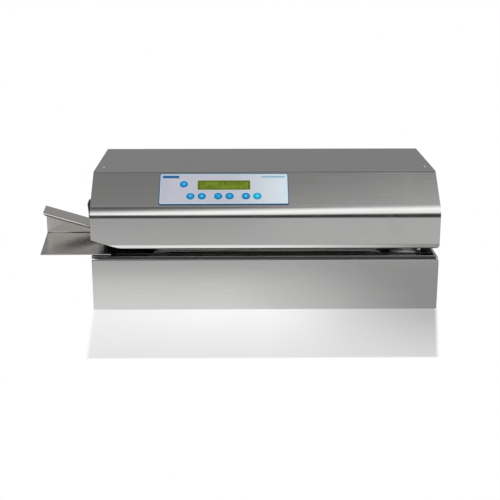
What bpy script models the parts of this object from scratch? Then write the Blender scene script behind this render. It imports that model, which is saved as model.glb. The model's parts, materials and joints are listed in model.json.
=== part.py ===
"""Rotary heat sealer for pouches: a base box, a C-shaped upper housing and, between them, a slot that
a pouch's edge travels through from left to right. Metres, +Z up, +X towards the outlet, -Y is the front.

Everything is first placed in the housing's own frame (X from its middle, Y from its front face, Z from
the table) and hangs on one empty, which moves the origin to the middle of the whole footprint."""

import math

import bmesh
import bpy
from mathutils import Vector

# ---- Driving dimensions -------------------------------------------------------------------------
WIDTH = 0.550           # housing, side to side
DEPTH = 0.262           # housing, front face to rear flange
HEIGHT = 0.215          # table to top of cover
FOOT_HEIGHT = 0.003     # how far the feet show below the base
BASE_TOP = 0.0925       # top face of the base
COVER_BOTTOM = 0.1026   # lowest edge of the cover's lip, above the slot
NOSE_HEIGHT = 0.1645    # where the sloped face and the front face would meet
SLOPE_DEPTH = 0.0645    # how far back the sloped face ends
SHEET = 0.0015          # stainless steel sheet
GAP = 0.0003            # clearance left between neighbouring pieces
PROUD_REAR = 0.001      # how far the mains inlet stands out behind the cover's flange

SIDE = WIDTH / 2
SLOPE_ANGLE = math.atan2(HEIGHT - NOSE_HEIGHT, SLOPE_DEPTH)
INNER_SIDE = SIDE - SHEET

# Bend radii, on the outside of the sheet
LIP_BEND = 0.011
LIP_TURN = math.radians(50)  # how far the lip curls under
LIP_FLAT = 0.0003       # what runs straight on after its bend
NOSE_BEND = 0.0235
FOLD_BEND = 0.008
REAR_BEND = 0.004
REAR_FLANGE = 0.020     # height of the flange behind the top
BASE_BEND = 0.008

# The cover's lower edge in front view: cut off at the left for the infeed, rounded at the right
RAMP_RISE = 0.0160      # at the housing's side
RAMP_REACH = 0.0501     # from the side to where the cut would meet the lip
RAMP_BEND = 0.120
CORNER_BEND = 0.0055
PANEL_WINDOW = (0.186, 0.052)  # opening behind the control panel, across and up the slope

# Infeed guide, left of the housing
GUIDE_REACH = 0.0930    # its rear wall, beyond the housing's side
GUIDE_FRONT_REACH = 0.0812
GUIDE_FRONT = 0.006     # its floor's front edge
GUIDE_INSIDE = 0.035    # how far its floor runs in under the cover
GUIDE_WALL = 0.137      # front of its rear wall
GUIDE_HIGH = 0.0464     # wall height over the floor, outer end
GUIDE_LOW = 0.0190      # the same, at the housing
GUIDE_FLANGE = 0.030
GUIDE_DROOP = 0.005     # how far the flange drops to its edge
GUIDE_LIP = 0.003
GUIDE_CORNER = 0.005    # of the floor, under the cover

# Transport plane and drive, seen from the front
TRANSPORT = 0.0975
WHEEL_R = 0.0285
WHEEL_X = 0.224
WHEEL_GAP = 0.0003      # wheel to transport plane
PULLEY_X = (-0.165, 0.172)
BELT_OUTER_R = 0.0195
BELT_THICK = 0.0015
BELT_GAP = 0.0005       # belt to transport plane
SHAFT_R = 0.005
AXLE_R = 0.004
WHEEL_Y = (0.014, 0.048)
BELT_Y = (0.0145, 0.0275)
PULLEY_Y = (0.014, 0.028)
GROOVE_Y = (0.028, 0.030)
GROOVE_DEPTH = 0.0006
CARRIER_X = (-0.190, 0.262)
CARRIER_Y = (0.060, 0.063)
CHASSIS_X = (-0.2665, 0.2665)
CHASSIS_Y = (0.139, 0.142)
OPENING = ((-0.190, 0.257), (0.012, 0.054))  # in the base top, for the lower belt, heater and wheel

BEARING_R = 0.011

LOWER_WHEEL_Z = TRANSPORT - WHEEL_GAP - WHEEL_R
UPPER_WHEEL_Z = TRANSPORT + WHEEL_GAP + WHEEL_R
LOWER_BELT_Z = TRANSPORT - BELT_GAP - BELT_OUTER_R
UPPER_BELT_Z = TRANSPORT + BELT_GAP + BELT_OUTER_R
IDLER_X, DRIVE_X = PULLEY_X

# Gears: module 1 mm. The belt's teeth ratio gives it the wheel's surface speed (28.5 to 19.5).
MODULE = 0.001
TEETH = {"wheel": 38, "idler": 24, "belt": 26, "cross": 40, "pinion": 19}
GEAR_FRONT_Y = (0.146, 0.152)
GEAR_REAR_Y = (0.154, 0.160)
BACKLASH = 0.00022
PINION_DIRECTION = math.radians(-60)
MOTOR_Y = 0.166
MOTOR_HALF = 0.029

# Pressure arm over the upper wheel
ARM_PIVOT = (0.186, 0.162)
ARM_PAD = (0.250, 0.141)
ARM_Y = (0.050, 0.054)

# Stripper fingers, which keep the pouch from following a wheel round
FINGER_X = (0.2415, 0.2470)
FINGER_Y = (0.0103, 0.0127)

# Heater bars, behind the belts
HEATER_X = (-0.120, 0.120)
HEATER_Y = (0.032, 0.046)
HEATER_GAP = 0.0004
HEATER_HEIGHT = 0.014
HEATER_SHELF = (0.128, 0.131)
UPPER_HEATER = (TRANSPORT + HEATER_GAP, TRANSPORT + HEATER_GAP + HEATER_HEIGHT)
LOWER_HEATER = (TRANSPORT - HEATER_GAP - HEATER_HEIGHT, TRANSPORT - HEATER_GAP)

# Control panel, lying on the sloped face. Places are along X, and down the slope from the top fold.
PANEL_SIZE = (0.205, 0.063)
PANEL_THICK = 0.001
PANEL_X = -0.0655
PANEL_TOP = 0.0055
PANEL_CORNER = 0.003
DISPLAY_SIZE = (0.083, 0.0186)
DISPLAY_DOWN = 0.0240   # from the panel's top edge to the display's middle
KEY_R = 0.0065
KEY_ROW_DOWN = 0.0465
KEY_PAIR_PITCH = 0.0438
KEY_PITCH = 0.0180
MODE_KEY = (-0.0636, 0.0221)
KEY_HOLE_GAP = 0.0004
KEY_PROUD = 0.0006

# Mains switch on the left side
SWITCH_Y = 0.028
SWITCH_Z = 0.1633
SWITCH_SIZE = (0.015, 0.0275)
SWITCH_PROUD = 0.0045

# Rear compartment
FAN_CENTRE = (0.090, 0.150)
FAN_SIZE = 0.060
FAN_PITCH = 0.0095      # between the slits in front of it
INLET_CENTRE = (-0.205, 0.045)
PANEL_REAR_Y = (DEPTH - 0.0033, DEPTH - 0.0018)
THROUGH = 0.002         # how far a cutter reaches beyond what it cuts

SLOTS = {  # colour, roughness, metallic
    "brushed_steel": ((0.55, 0.55, 0.54), 0.32, 1.0),
    "black_steel": ((0.03, 0.03, 0.03), 0.45, 0.0),
    "plated_steel": ((0.62, 0.62, 0.60), 0.35, 1.0),
    "aluminium": ((0.68, 0.69, 0.70), 0.38, 1.0),
    "brass": ((0.70, 0.55, 0.28), 0.35, 1.0),
    "grey_silicone": ((0.62, 0.62, 0.60), 0.75, 0.0),
    "belt_rubber": ((0.33, 0.33, 0.33), 0.80, 0.0),
    "black_rubber": ((0.03, 0.03, 0.03), 0.85, 0.0),
    "black_plastic": ((0.02, 0.02, 0.02), 0.40, 0.0),
    "white_plastic": ((0.80, 0.79, 0.76), 0.45, 0.0),
    "panel_film": ((0.70, 0.75, 0.80), 0.40, 0.0),
    "key_blue": ((0.02, 0.33, 0.66), 0.35, 0.0),
    "display_green": ((0.28, 0.40, 0.05), 0.15, 0.0),
    "board_green": ((0.03, 0.16, 0.07), 0.50, 0.0),
}


# ---- Building blocks ----------------------------------------------------------------------------
def clear_scene():
    for obj in list(bpy.data.objects):
        bpy.data.objects.remove(obj, do_unlink=True)


def material(slot):
    found = bpy.data.materials.get(slot)
    if found:
        return found
    colour, roughness, metallic = SLOTS[slot]
    made = bpy.data.materials.new(slot)
    made.use_nodes = True
    shader = made.node_tree.nodes["Principled BSDF"]
    shader.inputs["Base Color"].default_value = (*colour, 1)
    shader.inputs["Roughness"].default_value = roughness
    shader.inputs["Metallic"].default_value = metallic
    return made


def empty(name, location, parent=None, tilt=0.0):
    made = bpy.data.objects.new(name, None)
    made.location = location
    made.rotation_euler = (tilt, 0, 0)
    made.parent = parent
    bpy.context.scene.collection.objects.link(made)
    return made


def place(name, bm, slot, location=(0, 0, 0), parent=None, turn=0.0):
    """An object from a bmesh that is drawn round its own origin. turn is about Y, the shafts' direction."""
    bmesh.ops.recalc_face_normals(bm, faces=bm.faces)
    mesh = bpy.data.meshes.new(name)
    bm.to_mesh(mesh)
    bm.free()
    mesh.shade_smooth()
    mesh.set_sharp_from_angle(angle=math.radians(30))
    mesh.materials.append(material(slot))
    made = bpy.data.objects.new(name, mesh)
    made.location = location
    made.rotation_euler = (0, turn, 0)
    made.parent = parent or machine
    bpy.context.scene.collection.objects.link(made)
    return made


def helper(name, bm, location=(0, 0, 0), parent=None):
    """A cutter or an addition: it isn't a piece itself."""
    made = place(name, bm, "black_plastic", location, parent)
    made.hide_render = True
    made.display_type = "WIRE"
    return made


def combine(obj, operation, bm, location=None):
    """Cuts a shape from obj or joins one to it. Both are drawn round one origin unless location is given."""
    other = helper(f"{obj.name}_{len(obj.modifiers)}_helper", bm, location or obj.location, obj.parent)
    other.rotation_euler = obj.rotation_euler
    step = obj.modifiers.new(operation.lower(), "BOOLEAN")
    step.operation = operation
    step.object = other


def cut(obj, bm, location=None):
    combine(obj, "DIFFERENCE", bm, location)


def join(obj, bm, location=None):
    combine(obj, "UNION", bm, location)


def corner(axis, low, a, b):
    """A point from its place along one axis and the two others, in X, Y, Z order."""
    return {"X": (low, a, b), "Y": (a, low, b), "Z": (a, b, low)}[axis]


def prism(points, axis, low, high, turn_high=0.0):
    """A polygon drawn across an axis and extruded along it. turn_high twists the far end, for fan blades."""
    far = turned_points(points, turn_high)
    return loft([[corner(axis, low, *p) for p in points], [corner(axis, high, *p) for p in far]])


def rectangle(xs, ys):
    return [(xs[0], ys[0]), (xs[1], ys[0]), (xs[1], ys[1]), (xs[0], ys[1])]


def box(xs, ys, zs):
    return prism(rectangle(xs, ys), "Z", *zs)


def rounded_rectangle(width, height, radius, steps=4):
    """Its outline round the origin."""
    outline = rectangle((-width / 2, width / 2), (-height / 2, height / 2))
    return filleted(outline, [radius] * 4, closed=True, steps=steps)


def grown(span, extra):
    """A span reaching a little further at both ends."""
    return span[0] - extra, span[1] + extra


def polar(centre, radius, angle):
    return centre[0] + radius * math.cos(angle), centre[1] + radius * math.sin(angle)


def circle(radius, segments, centre=(0, 0)):
    return [polar(centre, radius, math.tau * i / segments) for i in range(segments)]


def disc(radius, ys, segments=32, centre=(0, 0)):
    """A cylinder along Y."""
    return prism(circle(radius, segments, centre), "Y", *ys)


def turned_points(points, angle):
    c, s = math.cos(angle), math.sin(angle)
    return [(x * c - z * s, x * s + z * c) for x, z in points]


def loft(outlines, ring=False):
    """Outlines with equally many points, joined one to the next. A ring joins the last to the first;
    otherwise both ends are closed."""
    bm = bmesh.new()
    rows = [[bm.verts.new(point) for point in outline] for outline in outlines]
    if not ring:
        bm.faces.new(rows[0])
        bm.faces.new(reversed(rows[-1]))
    for near, far in zip(rows, rows[1:] + rows[:1] if ring else rows[1:]):
        for i, vert in enumerate(near):
            after = (i + 1) % len(near)
            bm.faces.new((vert, far[i], far[after], near[after]))
    return bm


def along_y(points, y):
    return [(a, y, b) for a, b in points]


def turned(radii_and_ys, segments=32):
    """A stepped shaft or roller along Y: each step is (radius, y from, y to), from front to rear."""
    return loft([along_y(circle(radius, segments), y) for radius, *ends in radii_and_ys for y in ends])


def hub_ring(outer, inner, ys, segments=24):
    """A ring along Y with a square section."""
    section = ((outer, ys[0]), (outer, ys[1]), (inner, ys[1]), (inner, ys[0]))
    return loft([along_y(circle(radius, segments), y) for radius, y in section], ring=True)


def filleted(points, radii, closed=False, steps=6):
    """A polyline with each corner rounded to its radius. Open ends keep their place."""
    out = []
    count = len(points)
    for i, (point, radius) in enumerate(zip(points, radii)):
        here = Vector(point)
        if radius <= 0 or (not closed and i in (0, count - 1)):
            out.append(here)
            continue
        back = (Vector(points[i - 1]) - here).normalized()
        ahead = (Vector(points[(i + 1) % count]) - here).normalized()
        half = back.angle(ahead) / 2
        bisector = (back + ahead).normalized()
        centre = here + bisector * radius / math.sin(half)
        start = here + back * radius / math.tan(half) - centre
        sweep = math.pi - 2 * half
        direction = 1 if start.x * (here - centre).y - start.y * (here - centre).x > 0 else -1
        for k in range(steps + 1):
            angle = direction * sweep * k / steps
            c, s = math.cos(angle), math.sin(angle)
            out.append(centre + Vector((start.x * c - start.y * s, start.x * s + start.y * c)))
    return [tuple(p) for p in out]


def offset_path(points, distance):
    """An open polyline moved sideways by a distance, to the left of its direction, with mitred corners."""
    out = []
    for i, point in enumerate(points):
        here = Vector(point)
        sides = []
        for a, b in ((i - 1, i), (i, i + 1)):
            if a >= 0 and b < len(points):
                along = (Vector(points[b]) - Vector(points[a])).normalized()
                sides.append(Vector((-along.y, along.x)))
        normal = sum(sides, Vector((0, 0))).normalized()
        out.append(tuple(here + normal * distance / normal.dot(sides[0])))
    return out


def bent_sheet(points, radii, steps=6):
    """The closed outline of a folded sheet. points run along its outer face, radii are its outer bends,
    and the sheet's thickness lies to the right of that path."""
    outer = filleted(points, radii, steps=steps)
    inner = filleted(offset_path(points, -SHEET), [max(r - SHEET, 0) for r in radii], steps=steps)
    return outer + inner[::-1]


def gear_outline(teeth):
    """Involute teeth, each drawn by its two root and two tip points, with a tooth centred on angle 0."""
    pitch_r = teeth * MODULE / 2
    tip_r, root_r = pitch_r + 0.9 * MODULE, pitch_r - 1.2 * MODULE
    base_r = pitch_r * math.cos(math.radians(20))
    half_tooth = (math.pi * MODULE / 2 - BACKLASH) / 2 / pitch_r

    def half_angle(radius):
        """Half a tooth's width at a radius, as an angle: an involute leans in as it rises."""
        def involute(r):
            lean = math.acos(min(base_r / r, 1))
            return math.tan(lean) - lean
        return half_tooth + involute(pitch_r) - involute(max(radius, base_r))

    root_half, tip_half = half_angle(root_r), half_angle(tip_r)
    out = []
    for tooth in range(teeth):
        middle = math.tau * tooth / teeth
        tooth = ((root_r, -root_half), (tip_r, -tip_half), (tip_r, tip_half), (root_r, root_half))
        for radius, turn in tooth:
            out.append((radius * math.cos(middle + turn), radius * math.sin(middle + turn)))
    return out


def mesh_phase(phase, teeth, mate_teeth, direction):
    """The angle of a tooth on a gear that meshes, in a given direction, with one whose tooth is at phase."""
    return direction + math.pi - math.pi / mate_teeth - (phase - direction) * teeth / mate_teeth


def gear(name, kind, phase, ys, location, slot="plated_steel", bore=SHAFT_R + GAP):
    made = place(name, prism(turned_points(gear_outline(TEETH[kind]), phase), "Y", *ys), slot, location)
    if bore:
        cut(made, disc(bore, (ys[0] - 0.001, ys[1] + 0.001), 24))
    return made


def pitch_distance(a, b):
    return (TEETH[a] + TEETH[b]) * MODULE / 2


# ---- Housing ------------------------------------------------------------------------------------
def rounded_box(xs, ys, zs, radius, steps=5):
    """A box whose top front edge and top right edge are rolled over."""
    bm = box(xs, ys, zs)

    def lies_on(edge, axis, value):
        return all(abs(vert.co[axis] - value) < 1e-6 for vert in edge.verts)

    top_edges = [
        edge for edge in bm.edges
        if lies_on(edge, 2, zs[1]) and (lies_on(edge, 1, ys[0]) or lies_on(edge, 0, xs[1]))
    ]
    bmesh.ops.bevel(bm, geom=top_edges, offset=radius, segments=steps, profile=0.5, affect="EDGES")
    return bm


def base_housing():
    base = place(
        "base_housing",
        rounded_box((-SIDE, SIDE), (0, DEPTH - 0.002), (FOOT_HEIGHT, BASE_TOP), BASE_BEND),
        "brushed_steel",
    )
    inside = (-INNER_SIDE, INNER_SIDE), (SHEET, DEPTH), (0, BASE_TOP - SHEET)
    cut(base, rounded_box(*inside, BASE_BEND - SHEET))
    rear_opening = (-INNER_SIDE, SIDE - BASE_BEND)
    top_sheet = (BASE_TOP - BASE_BEND - SHEET, BASE_TOP + THROUGH)
    cut(base, box(rear_opening, (CHASSIS_Y[0] - 0.001, DEPTH), top_sheet))
    cut(base, box((-INNER_SIDE, INNER_SIDE), (PANEL_REAR_Y[0] - GAP, DEPTH), top_sheet))
    cut(base, box(*OPENING, top_sheet))


def bottom_plate():
    plate = place(
        "bottom_plate",
        box((-INNER_SIDE + GAP, INNER_SIDE - GAP), (SHEET + GAP, DEPTH - 0.004), (0.0045, 0.0060)),
        "plated_steel",
    )
    for i in range(5):
        x = 0.020 + 0.016 * i
        cut(plate, box((x, x + 0.005), (0.180, 0.235), (0.003, 0.008)))


def feet():
    """Four short cones, wide at the table."""
    for side, x in (("left", -0.250), ("right", 0.250)):
        for end, y in (("front", 0.022), ("rear", 0.238)):
            bm = loft([[(a, b, z) for a, b in circle(r, 24)] for r, z in ((0.009, 0), (0.0075, 0.0042))])
            place(f"foot_{end}_{side}", bm, "black_rubber", (x, y, 0))


def slide_plate():
    left = -SIDE + GUIDE_INSIDE + 0.002
    plate = place(
        "slide_plate",
        box((left, SIDE - BASE_BEND), (0.009, CHASSIS_Y[0] - 0.0013), (BASE_TOP + GAP, BASE_TOP + 0.0013)),
        "black_steel",
    )
    cut(plate, box(*OPENING, grown((BASE_TOP, BASE_TOP + 0.002), THROUGH)))
    join(plate, box(FINGER_X, FINGER_Y, (BASE_TOP + 0.0005, TRANSPORT - 0.0007)))


def cover_path():
    """The cover's outer face in side view, from the lip over the nose, slope and top to the rear flange."""
    lip_run = LIP_BEND * math.tan(LIP_TURN / 2) + LIP_FLAT
    lip_corner = COVER_BOTTOM + lip_run * math.cos(LIP_TURN)
    points = [
        (lip_run * math.sin(LIP_TURN), COVER_BOTTOM), (0, lip_corner), (0, NOSE_HEIGHT),
        (SLOPE_DEPTH, HEIGHT), (DEPTH, HEIGHT), (DEPTH, HEIGHT - REAR_FLANGE),
    ]
    return points, [0, LIP_BEND, NOSE_BEND, FOLD_BEND, REAR_BEND, 0]


def ramp_outline():
    """What is cut off below the infeed: a straight ramp that eases into the lip's edge."""
    beyond = 0.010
    left, right = -SIDE - beyond, -SIDE + 0.125
    edge, under = COVER_BOTTOM - 0.0001, COVER_BOTTOM - 0.020
    high = COVER_BOTTOM + RAMP_RISE * (RAMP_REACH + beyond) / RAMP_REACH
    points = [(left, under), (left, high), (-SIDE + RAMP_REACH, edge), (right, edge), (right, under)]
    return filleted(points, [0, 0, RAMP_BEND, 0, 0], closed=True, steps=8)


def corner_outline():
    """What lies outside the rounded lower right corner."""
    centre = (SIDE - CORNER_BEND, COVER_BOTTOM + CORNER_BEND)
    arc = [polar(centre, CORNER_BEND, -math.pi / 2 * k / 6) for k in range(7)]
    beyond = 0.004
    low, right = COVER_BOTTOM - beyond, SIDE + beyond
    return [(right, low), (right, centre[1]), *arc, (centre[0], low)]


def top_cover():
    cover = place("top_cover", prism(bent_sheet(*cover_path()), "X", -SIDE, SIDE), "brushed_steel")
    for outline in (ramp_outline(), corner_outline()):
        cut(cover, prism(outline, "Y", -0.005, 0.020))
    across, up = (size / 2 for size in PANEL_WINDOW)
    window = helper("panel_window", box((-across, across), (-up, up), (-0.006, 0.006)), parent=panel_frame)
    step = cover.modifiers.new("window", "BOOLEAN")
    step.operation = "DIFFERENCE"
    step.object = window


def side_outline(front_bottom):
    """Inside the cover's profile, its lower edge raised over the slot as far back as the chassis plate."""
    inner = offset_path(cover_path()[0], -(SHEET + GAP))
    low = BASE_TOP + GAP
    step = CHASSIS_Y[0] + 0.002
    points = [(inner[1][0], front_bottom), *inner[2:5], (inner[4][0], low), (step, low), (step, front_bottom)]
    radii = [*(bend - SHEET for bend in (LIP_BEND, NOSE_BEND, FOLD_BEND, REAR_BEND)), 0, 0, 0]
    return filleted(points, radii, closed=True)


def side_plates():
    right_bottom = COVER_BOTTOM + SHEET + GAP
    left_bottom = COVER_BOTTOM + RAMP_RISE + 0.0009
    for name, way, bottom in (("side_plate_left", -1, left_bottom), ("side_plate_right", 1, right_bottom)):
        outer, inner = way * (SIDE - GAP), way * (SIDE - GAP - SHEET)
        plate = place(name, prism(side_outline(bottom), "X", *sorted((outer, inner))), "brushed_steel")
        flange = sorted((outer - way * 0.0005, way * (SIDE - 0.020)))
        top = HEIGHT - SHEET - GAP
        join(plate, box(flange, (0.078, 0.245), (top - SHEET, top)))
        if way < 0:
            hole = [grown((middle - size / 2, middle + size / 2), -0.002)
                    for middle, size in zip((SWITCH_Y, SWITCH_Z), SWITCH_SIZE)]
            cut(plate, box((-SIDE - THROUGH, -SIDE + 0.004), *hole))


def rear_panel():
    panel = place(
        "rear_panel",
        box((-INNER_SIDE + 0.0005, INNER_SIDE - 0.0005), PANEL_REAR_Y, (0.0065, HEIGHT - 0.0035)),
        "brushed_steel",
    )
    cut_y = grown(PANEL_REAR_Y, THROUGH)
    for i in range(-2, 3):
        z = FAN_CENTRE[1] + FAN_PITCH * i
        half = math.sqrt(0.027**2 - (FAN_PITCH * i) ** 2)
        cut(panel, box((FAN_CENTRE[0] - half, FAN_CENTRE[0] + half), cut_y, (z - 0.003, z + 0.003)))
    for i in range(8):
        x = -0.150 + 0.012 * i
        cut(panel, box((x, x + 0.005), cut_y, (0.110, 0.165)))
    x, z = INLET_CENTRE
    cut(panel, box((x - 0.0240, x + 0.0240), cut_y, (z - 0.0140, z + 0.0140)))


def chassis_plate():
    plate = place("chassis_plate", box(CHASSIS_X, CHASSIS_Y, (0.008, 0.205)), "black_steel")
    cut_y = grown(CHASSIS_Y, THROUGH)
    for x, z in shaft_places():
        cut(plate, disc(BEARING_R + GAP, cut_y, 32, (x, z)))
    cut(plate, disc(0.012, cut_y, 20, (-0.230, 0.060)))
    stud = (CHASSIS_Y[1] - 0.001, GEAR_FRONT_Y[1] + 0.003)
    join(plate, disc(SHAFT_R - 0.001, stud, 24, idler_gear_place()))


def infeed_guide():
    """One folded sheet: floor, rear wall, drooping flange and its lip. The floor runs in under the cover."""
    floor = BASE_TOP + GAP + SHEET
    out_rear, out_front = -SIDE - GUIDE_REACH, -SIDE - GUIDE_FRONT_REACH
    inside = -SIDE + GUIDE_INSIDE
    stop = -SIDE - 0.0012
    wall, front = GUIDE_WALL, GUIDE_FRONT
    bm = bmesh.new()

    def vert(x, y, z):
        return bm.verts.new((x, y, z))

    rear_out, rear_in = vert(out_rear, wall, floor), vert(stop, wall, floor)
    rounded = filleted([(inside, wall), (inside, front), (out_front, front)], [0, GUIDE_CORNER, 0], steps=4)
    edge = [vert(x, y, floor) for x, y in rounded]
    bm.faces.new([rear_out, *reversed(edge), rear_in])
    high, low = floor + GUIDE_HIGH - SHEET, floor + GUIDE_LOW - SHEET
    top_out, top_in = vert(out_rear, wall, high), vert(stop, wall, low)
    nose_y = wall - GUIDE_FLANGE + SHEET
    nose_out, nose_in = vert(out_rear, nose_y, high - GUIDE_DROOP), vert(stop, nose_y, low - GUIDE_DROOP)
    lip_out = vert(out_rear + 0.004, nose_y, high - GUIDE_DROOP - GUIDE_LIP - 0.001)
    lip_in = vert(stop, nose_y, low - GUIDE_DROOP - GUIDE_LIP)
    bm.faces.new((rear_out, rear_in, top_in, top_out))
    bm.faces.new((top_out, top_in, nose_in, nose_out))
    bm.faces.new((nose_out, nose_in, lip_in, lip_out))
    guide = place("infeed_guide", bm, "brushed_steel")
    thick = guide.modifiers.new("sheet", "SOLIDIFY")
    thick.thickness = SHEET
    thick.offset = 1
    thick.solidify_mode = "NON_MANIFOLD"
    thick.nonmanifold_thickness_mode = "CONSTRAINTS"


# ---- Control panel and mains switch -------------------------------------------------------------
def up_panel(down):
    """The place up the panel of a distance below its top edge."""
    return PANEL_SIZE[1] / 2 - down


def key_places():
    """Each key's name, its place across the panel and its distance below the panel's top edge."""
    places = [("key_mode", *MODE_KEY)]
    names = ("key_menu_down", "key_menu_up", "key_value_down", "key_value_up", "key_stop", "key_start")
    for i, name in enumerate(names):
        pair, second = divmod(i, 2)
        places.append((name, KEY_PAIR_PITCH * (pair - 1) + KEY_PITCH * (second - 0.5), KEY_ROW_DOWN))
    return places


def control_panel():
    bottom, top = GAP, GAP + PANEL_THICK
    outline = rounded_rectangle(*PANEL_SIZE, PANEL_CORNER)
    through = grown((bottom, top), THROUGH)
    panel = place("panel_plate", prism(outline, "Z", bottom, top), "panel_film", parent=panel_frame)
    for name, x, down in key_places():
        y = up_panel(down)
        cut(panel, prism(circle(KEY_R + KEY_HOLE_GAP, 28, (x, y)), "Z", *through))
        key = prism(circle(KEY_R, 28), "Z", bottom + 0.0003, top + KEY_PROUD)
        made = place(name, key, "key_blue", (x, y, 0), panel_frame)
        join(made, prism(circle(0.002, 12), "Z", -0.0045, bottom + 0.0006))
    wide, middle = DISPLAY_SIZE[0] / 2, up_panel(DISPLAY_DOWN)
    across, up = (-wide, wide), (middle - DISPLAY_SIZE[1] / 2, middle + DISPLAY_SIZE[1] / 2)
    cut(panel, box(across, up, through))
    glass = box(grown(across, -GAP), grown(up, -GAP), (bottom, top - 0.0002))
    place("display_window", glass, "display_green", parent=panel_frame)
    board = box((-0.089, 0.089), (-0.023, 0.023), (-0.0072, -0.0056))
    made = place("display_board", board, "board_green", parent=panel_frame)
    join(made, box(grown(across, 0.0037), grown(up, 0.0027), (-0.0066, -0.0004)))


def mains_switch():
    """A frame on the left side with a rocker in it, drawn round the middle of its mounting face."""
    spot = (-SIDE, SWITCH_Y, SWITCH_Z)
    outline = rounded_rectangle(*SWITCH_SIZE, 0.002, steps=3)
    bezel = place("switch_bezel", prism(outline, "X", -SWITCH_PROUD, -GAP), "black_plastic", spot)
    wide, tall = (size / 2 - 0.0025 for size in SWITCH_SIZE)
    wall = 0.001
    join(bezel, box((-0.001, 0.014), (-wide, wide), (-tall, tall)))
    cut(bezel, box((-0.006, 0.010), grown((-wide, wide), -wall), grown((-tall, tall), -wall)))
    half_wide, half_tall = wide - 0.0014, tall - 0.0026
    back, keel = 0.0035, 0.0065
    low, middle, high = -0.0048, -0.0052, -0.0066
    face = [(back, -half_tall), (low, -half_tall), (middle, 0)]
    face += [(high, half_tall), (back, half_tall), (keel, 0)]
    place("switch_rocker", prism(face, "Y", -half_wide, half_wide), "black_plastic", spot)


# ---- Drive --------------------------------------------------------------------------------------
def shaft_places():
    return [(WHEEL_X, LOWER_WHEEL_Z), (DRIVE_X, LOWER_BELT_Z), (DRIVE_X, UPPER_BELT_Z)]


def idler_gear_place():
    """Where a gear meshes with both the wheel's gear and the belt's: the upper crossing of two circles."""
    a, b = Vector((WHEEL_X, LOWER_WHEEL_Z)), Vector((DRIVE_X, LOWER_BELT_Z))
    ra, rb = pitch_distance("wheel", "idler"), pitch_distance("idler", "belt")
    apart = (b - a).length
    along = (ra**2 - rb**2 + apart**2) / (2 * apart)
    side = math.sqrt(ra**2 - along**2)
    towards = (b - a).normalized()
    return tuple(a + towards * along + Vector((towards.y, -towards.x)) * side)


def direction(a, b):
    return math.atan2(b[1] - a[1], b[0] - a[0])


def gears():
    """The train from the motor's pinion to the wheel and both belts. Gives back where the pinion is."""
    wheel, lower, upper = shaft_places()
    idler = idler_gear_place()
    to_idler = direction(wheel, idler)
    idler_phase = mesh_phase(0, TEETH["wheel"], TEETH["idler"], to_idler)
    to_belt = direction(idler, lower)
    belt_phase = mesh_phase(idler_phase, TEETH["idler"], TEETH["belt"], to_belt)
    cross_phase = mesh_phase(0, TEETH["cross"], TEETH["cross"], math.pi / 2)
    pinion_phase = mesh_phase(0, TEETH["wheel"], TEETH["pinion"], PINION_DIRECTION)
    pinion = polar(wheel, pitch_distance("wheel", "pinion"), PINION_DIRECTION)

    gear("wheel_gear", "wheel", 0, GEAR_FRONT_Y, (wheel[0], 0, wheel[1]))
    gear("idler_gear", "idler", idler_phase, GEAR_FRONT_Y, (idler[0], 0, idler[1]), "white_plastic")
    cluster = gear("lower_cluster_gear", "belt", belt_phase, GEAR_FRONT_Y, (lower[0], 0, lower[1]), bore=None)
    join(cluster, disc(0.009, (GEAR_FRONT_Y[1] - 0.001, GEAR_REAR_Y[0] + 0.001), 24))
    join(cluster, prism(gear_outline(TEETH["cross"]), "Y", *GEAR_REAR_Y))
    cut(cluster, disc(SHAFT_R + GAP, (GEAR_FRONT_Y[0] - 0.001, GEAR_REAR_Y[1] + 0.001), 24))
    gear("upper_cross_gear", "cross", cross_phase, GEAR_REAR_Y, (upper[0], 0, upper[1]), "white_plastic")
    spot = (pinion[0], 0, pinion[1])
    small = gear("motor_pinion", "pinion", pinion_phase, GEAR_FRONT_Y, spot, "brass", bore=None)
    join(small, disc(0.004, (GEAR_FRONT_Y[1] - 0.001, MOTOR_Y - GAP), 20))
    return pinion


def gear_motor(pinion):
    spot = (pinion[0], 0, pinion[1])
    square = rounded_rectangle(2 * MOTOR_HALF, 2 * MOTOR_HALF, 0.005, steps=3)
    motor = place("gear_motor", prism(square, "Y", MOTOR_Y, MOTOR_Y + 0.022), "plated_steel", spot)
    join(motor, disc(0.025, (MOTOR_Y + 0.021, MOTOR_Y + 0.074), 36))
    join(motor, disc(0.008, (MOTOR_Y + 0.073, MOTOR_Y + 0.078), 20))
    for x, z in ((-1, -1), (1, -1), (1, 1)):
        join(motor, disc(0.003, (CHASSIS_Y[1] + GAP, MOTOR_Y + 0.001), 10, (x * 0.024, z * 0.024)))


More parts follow.
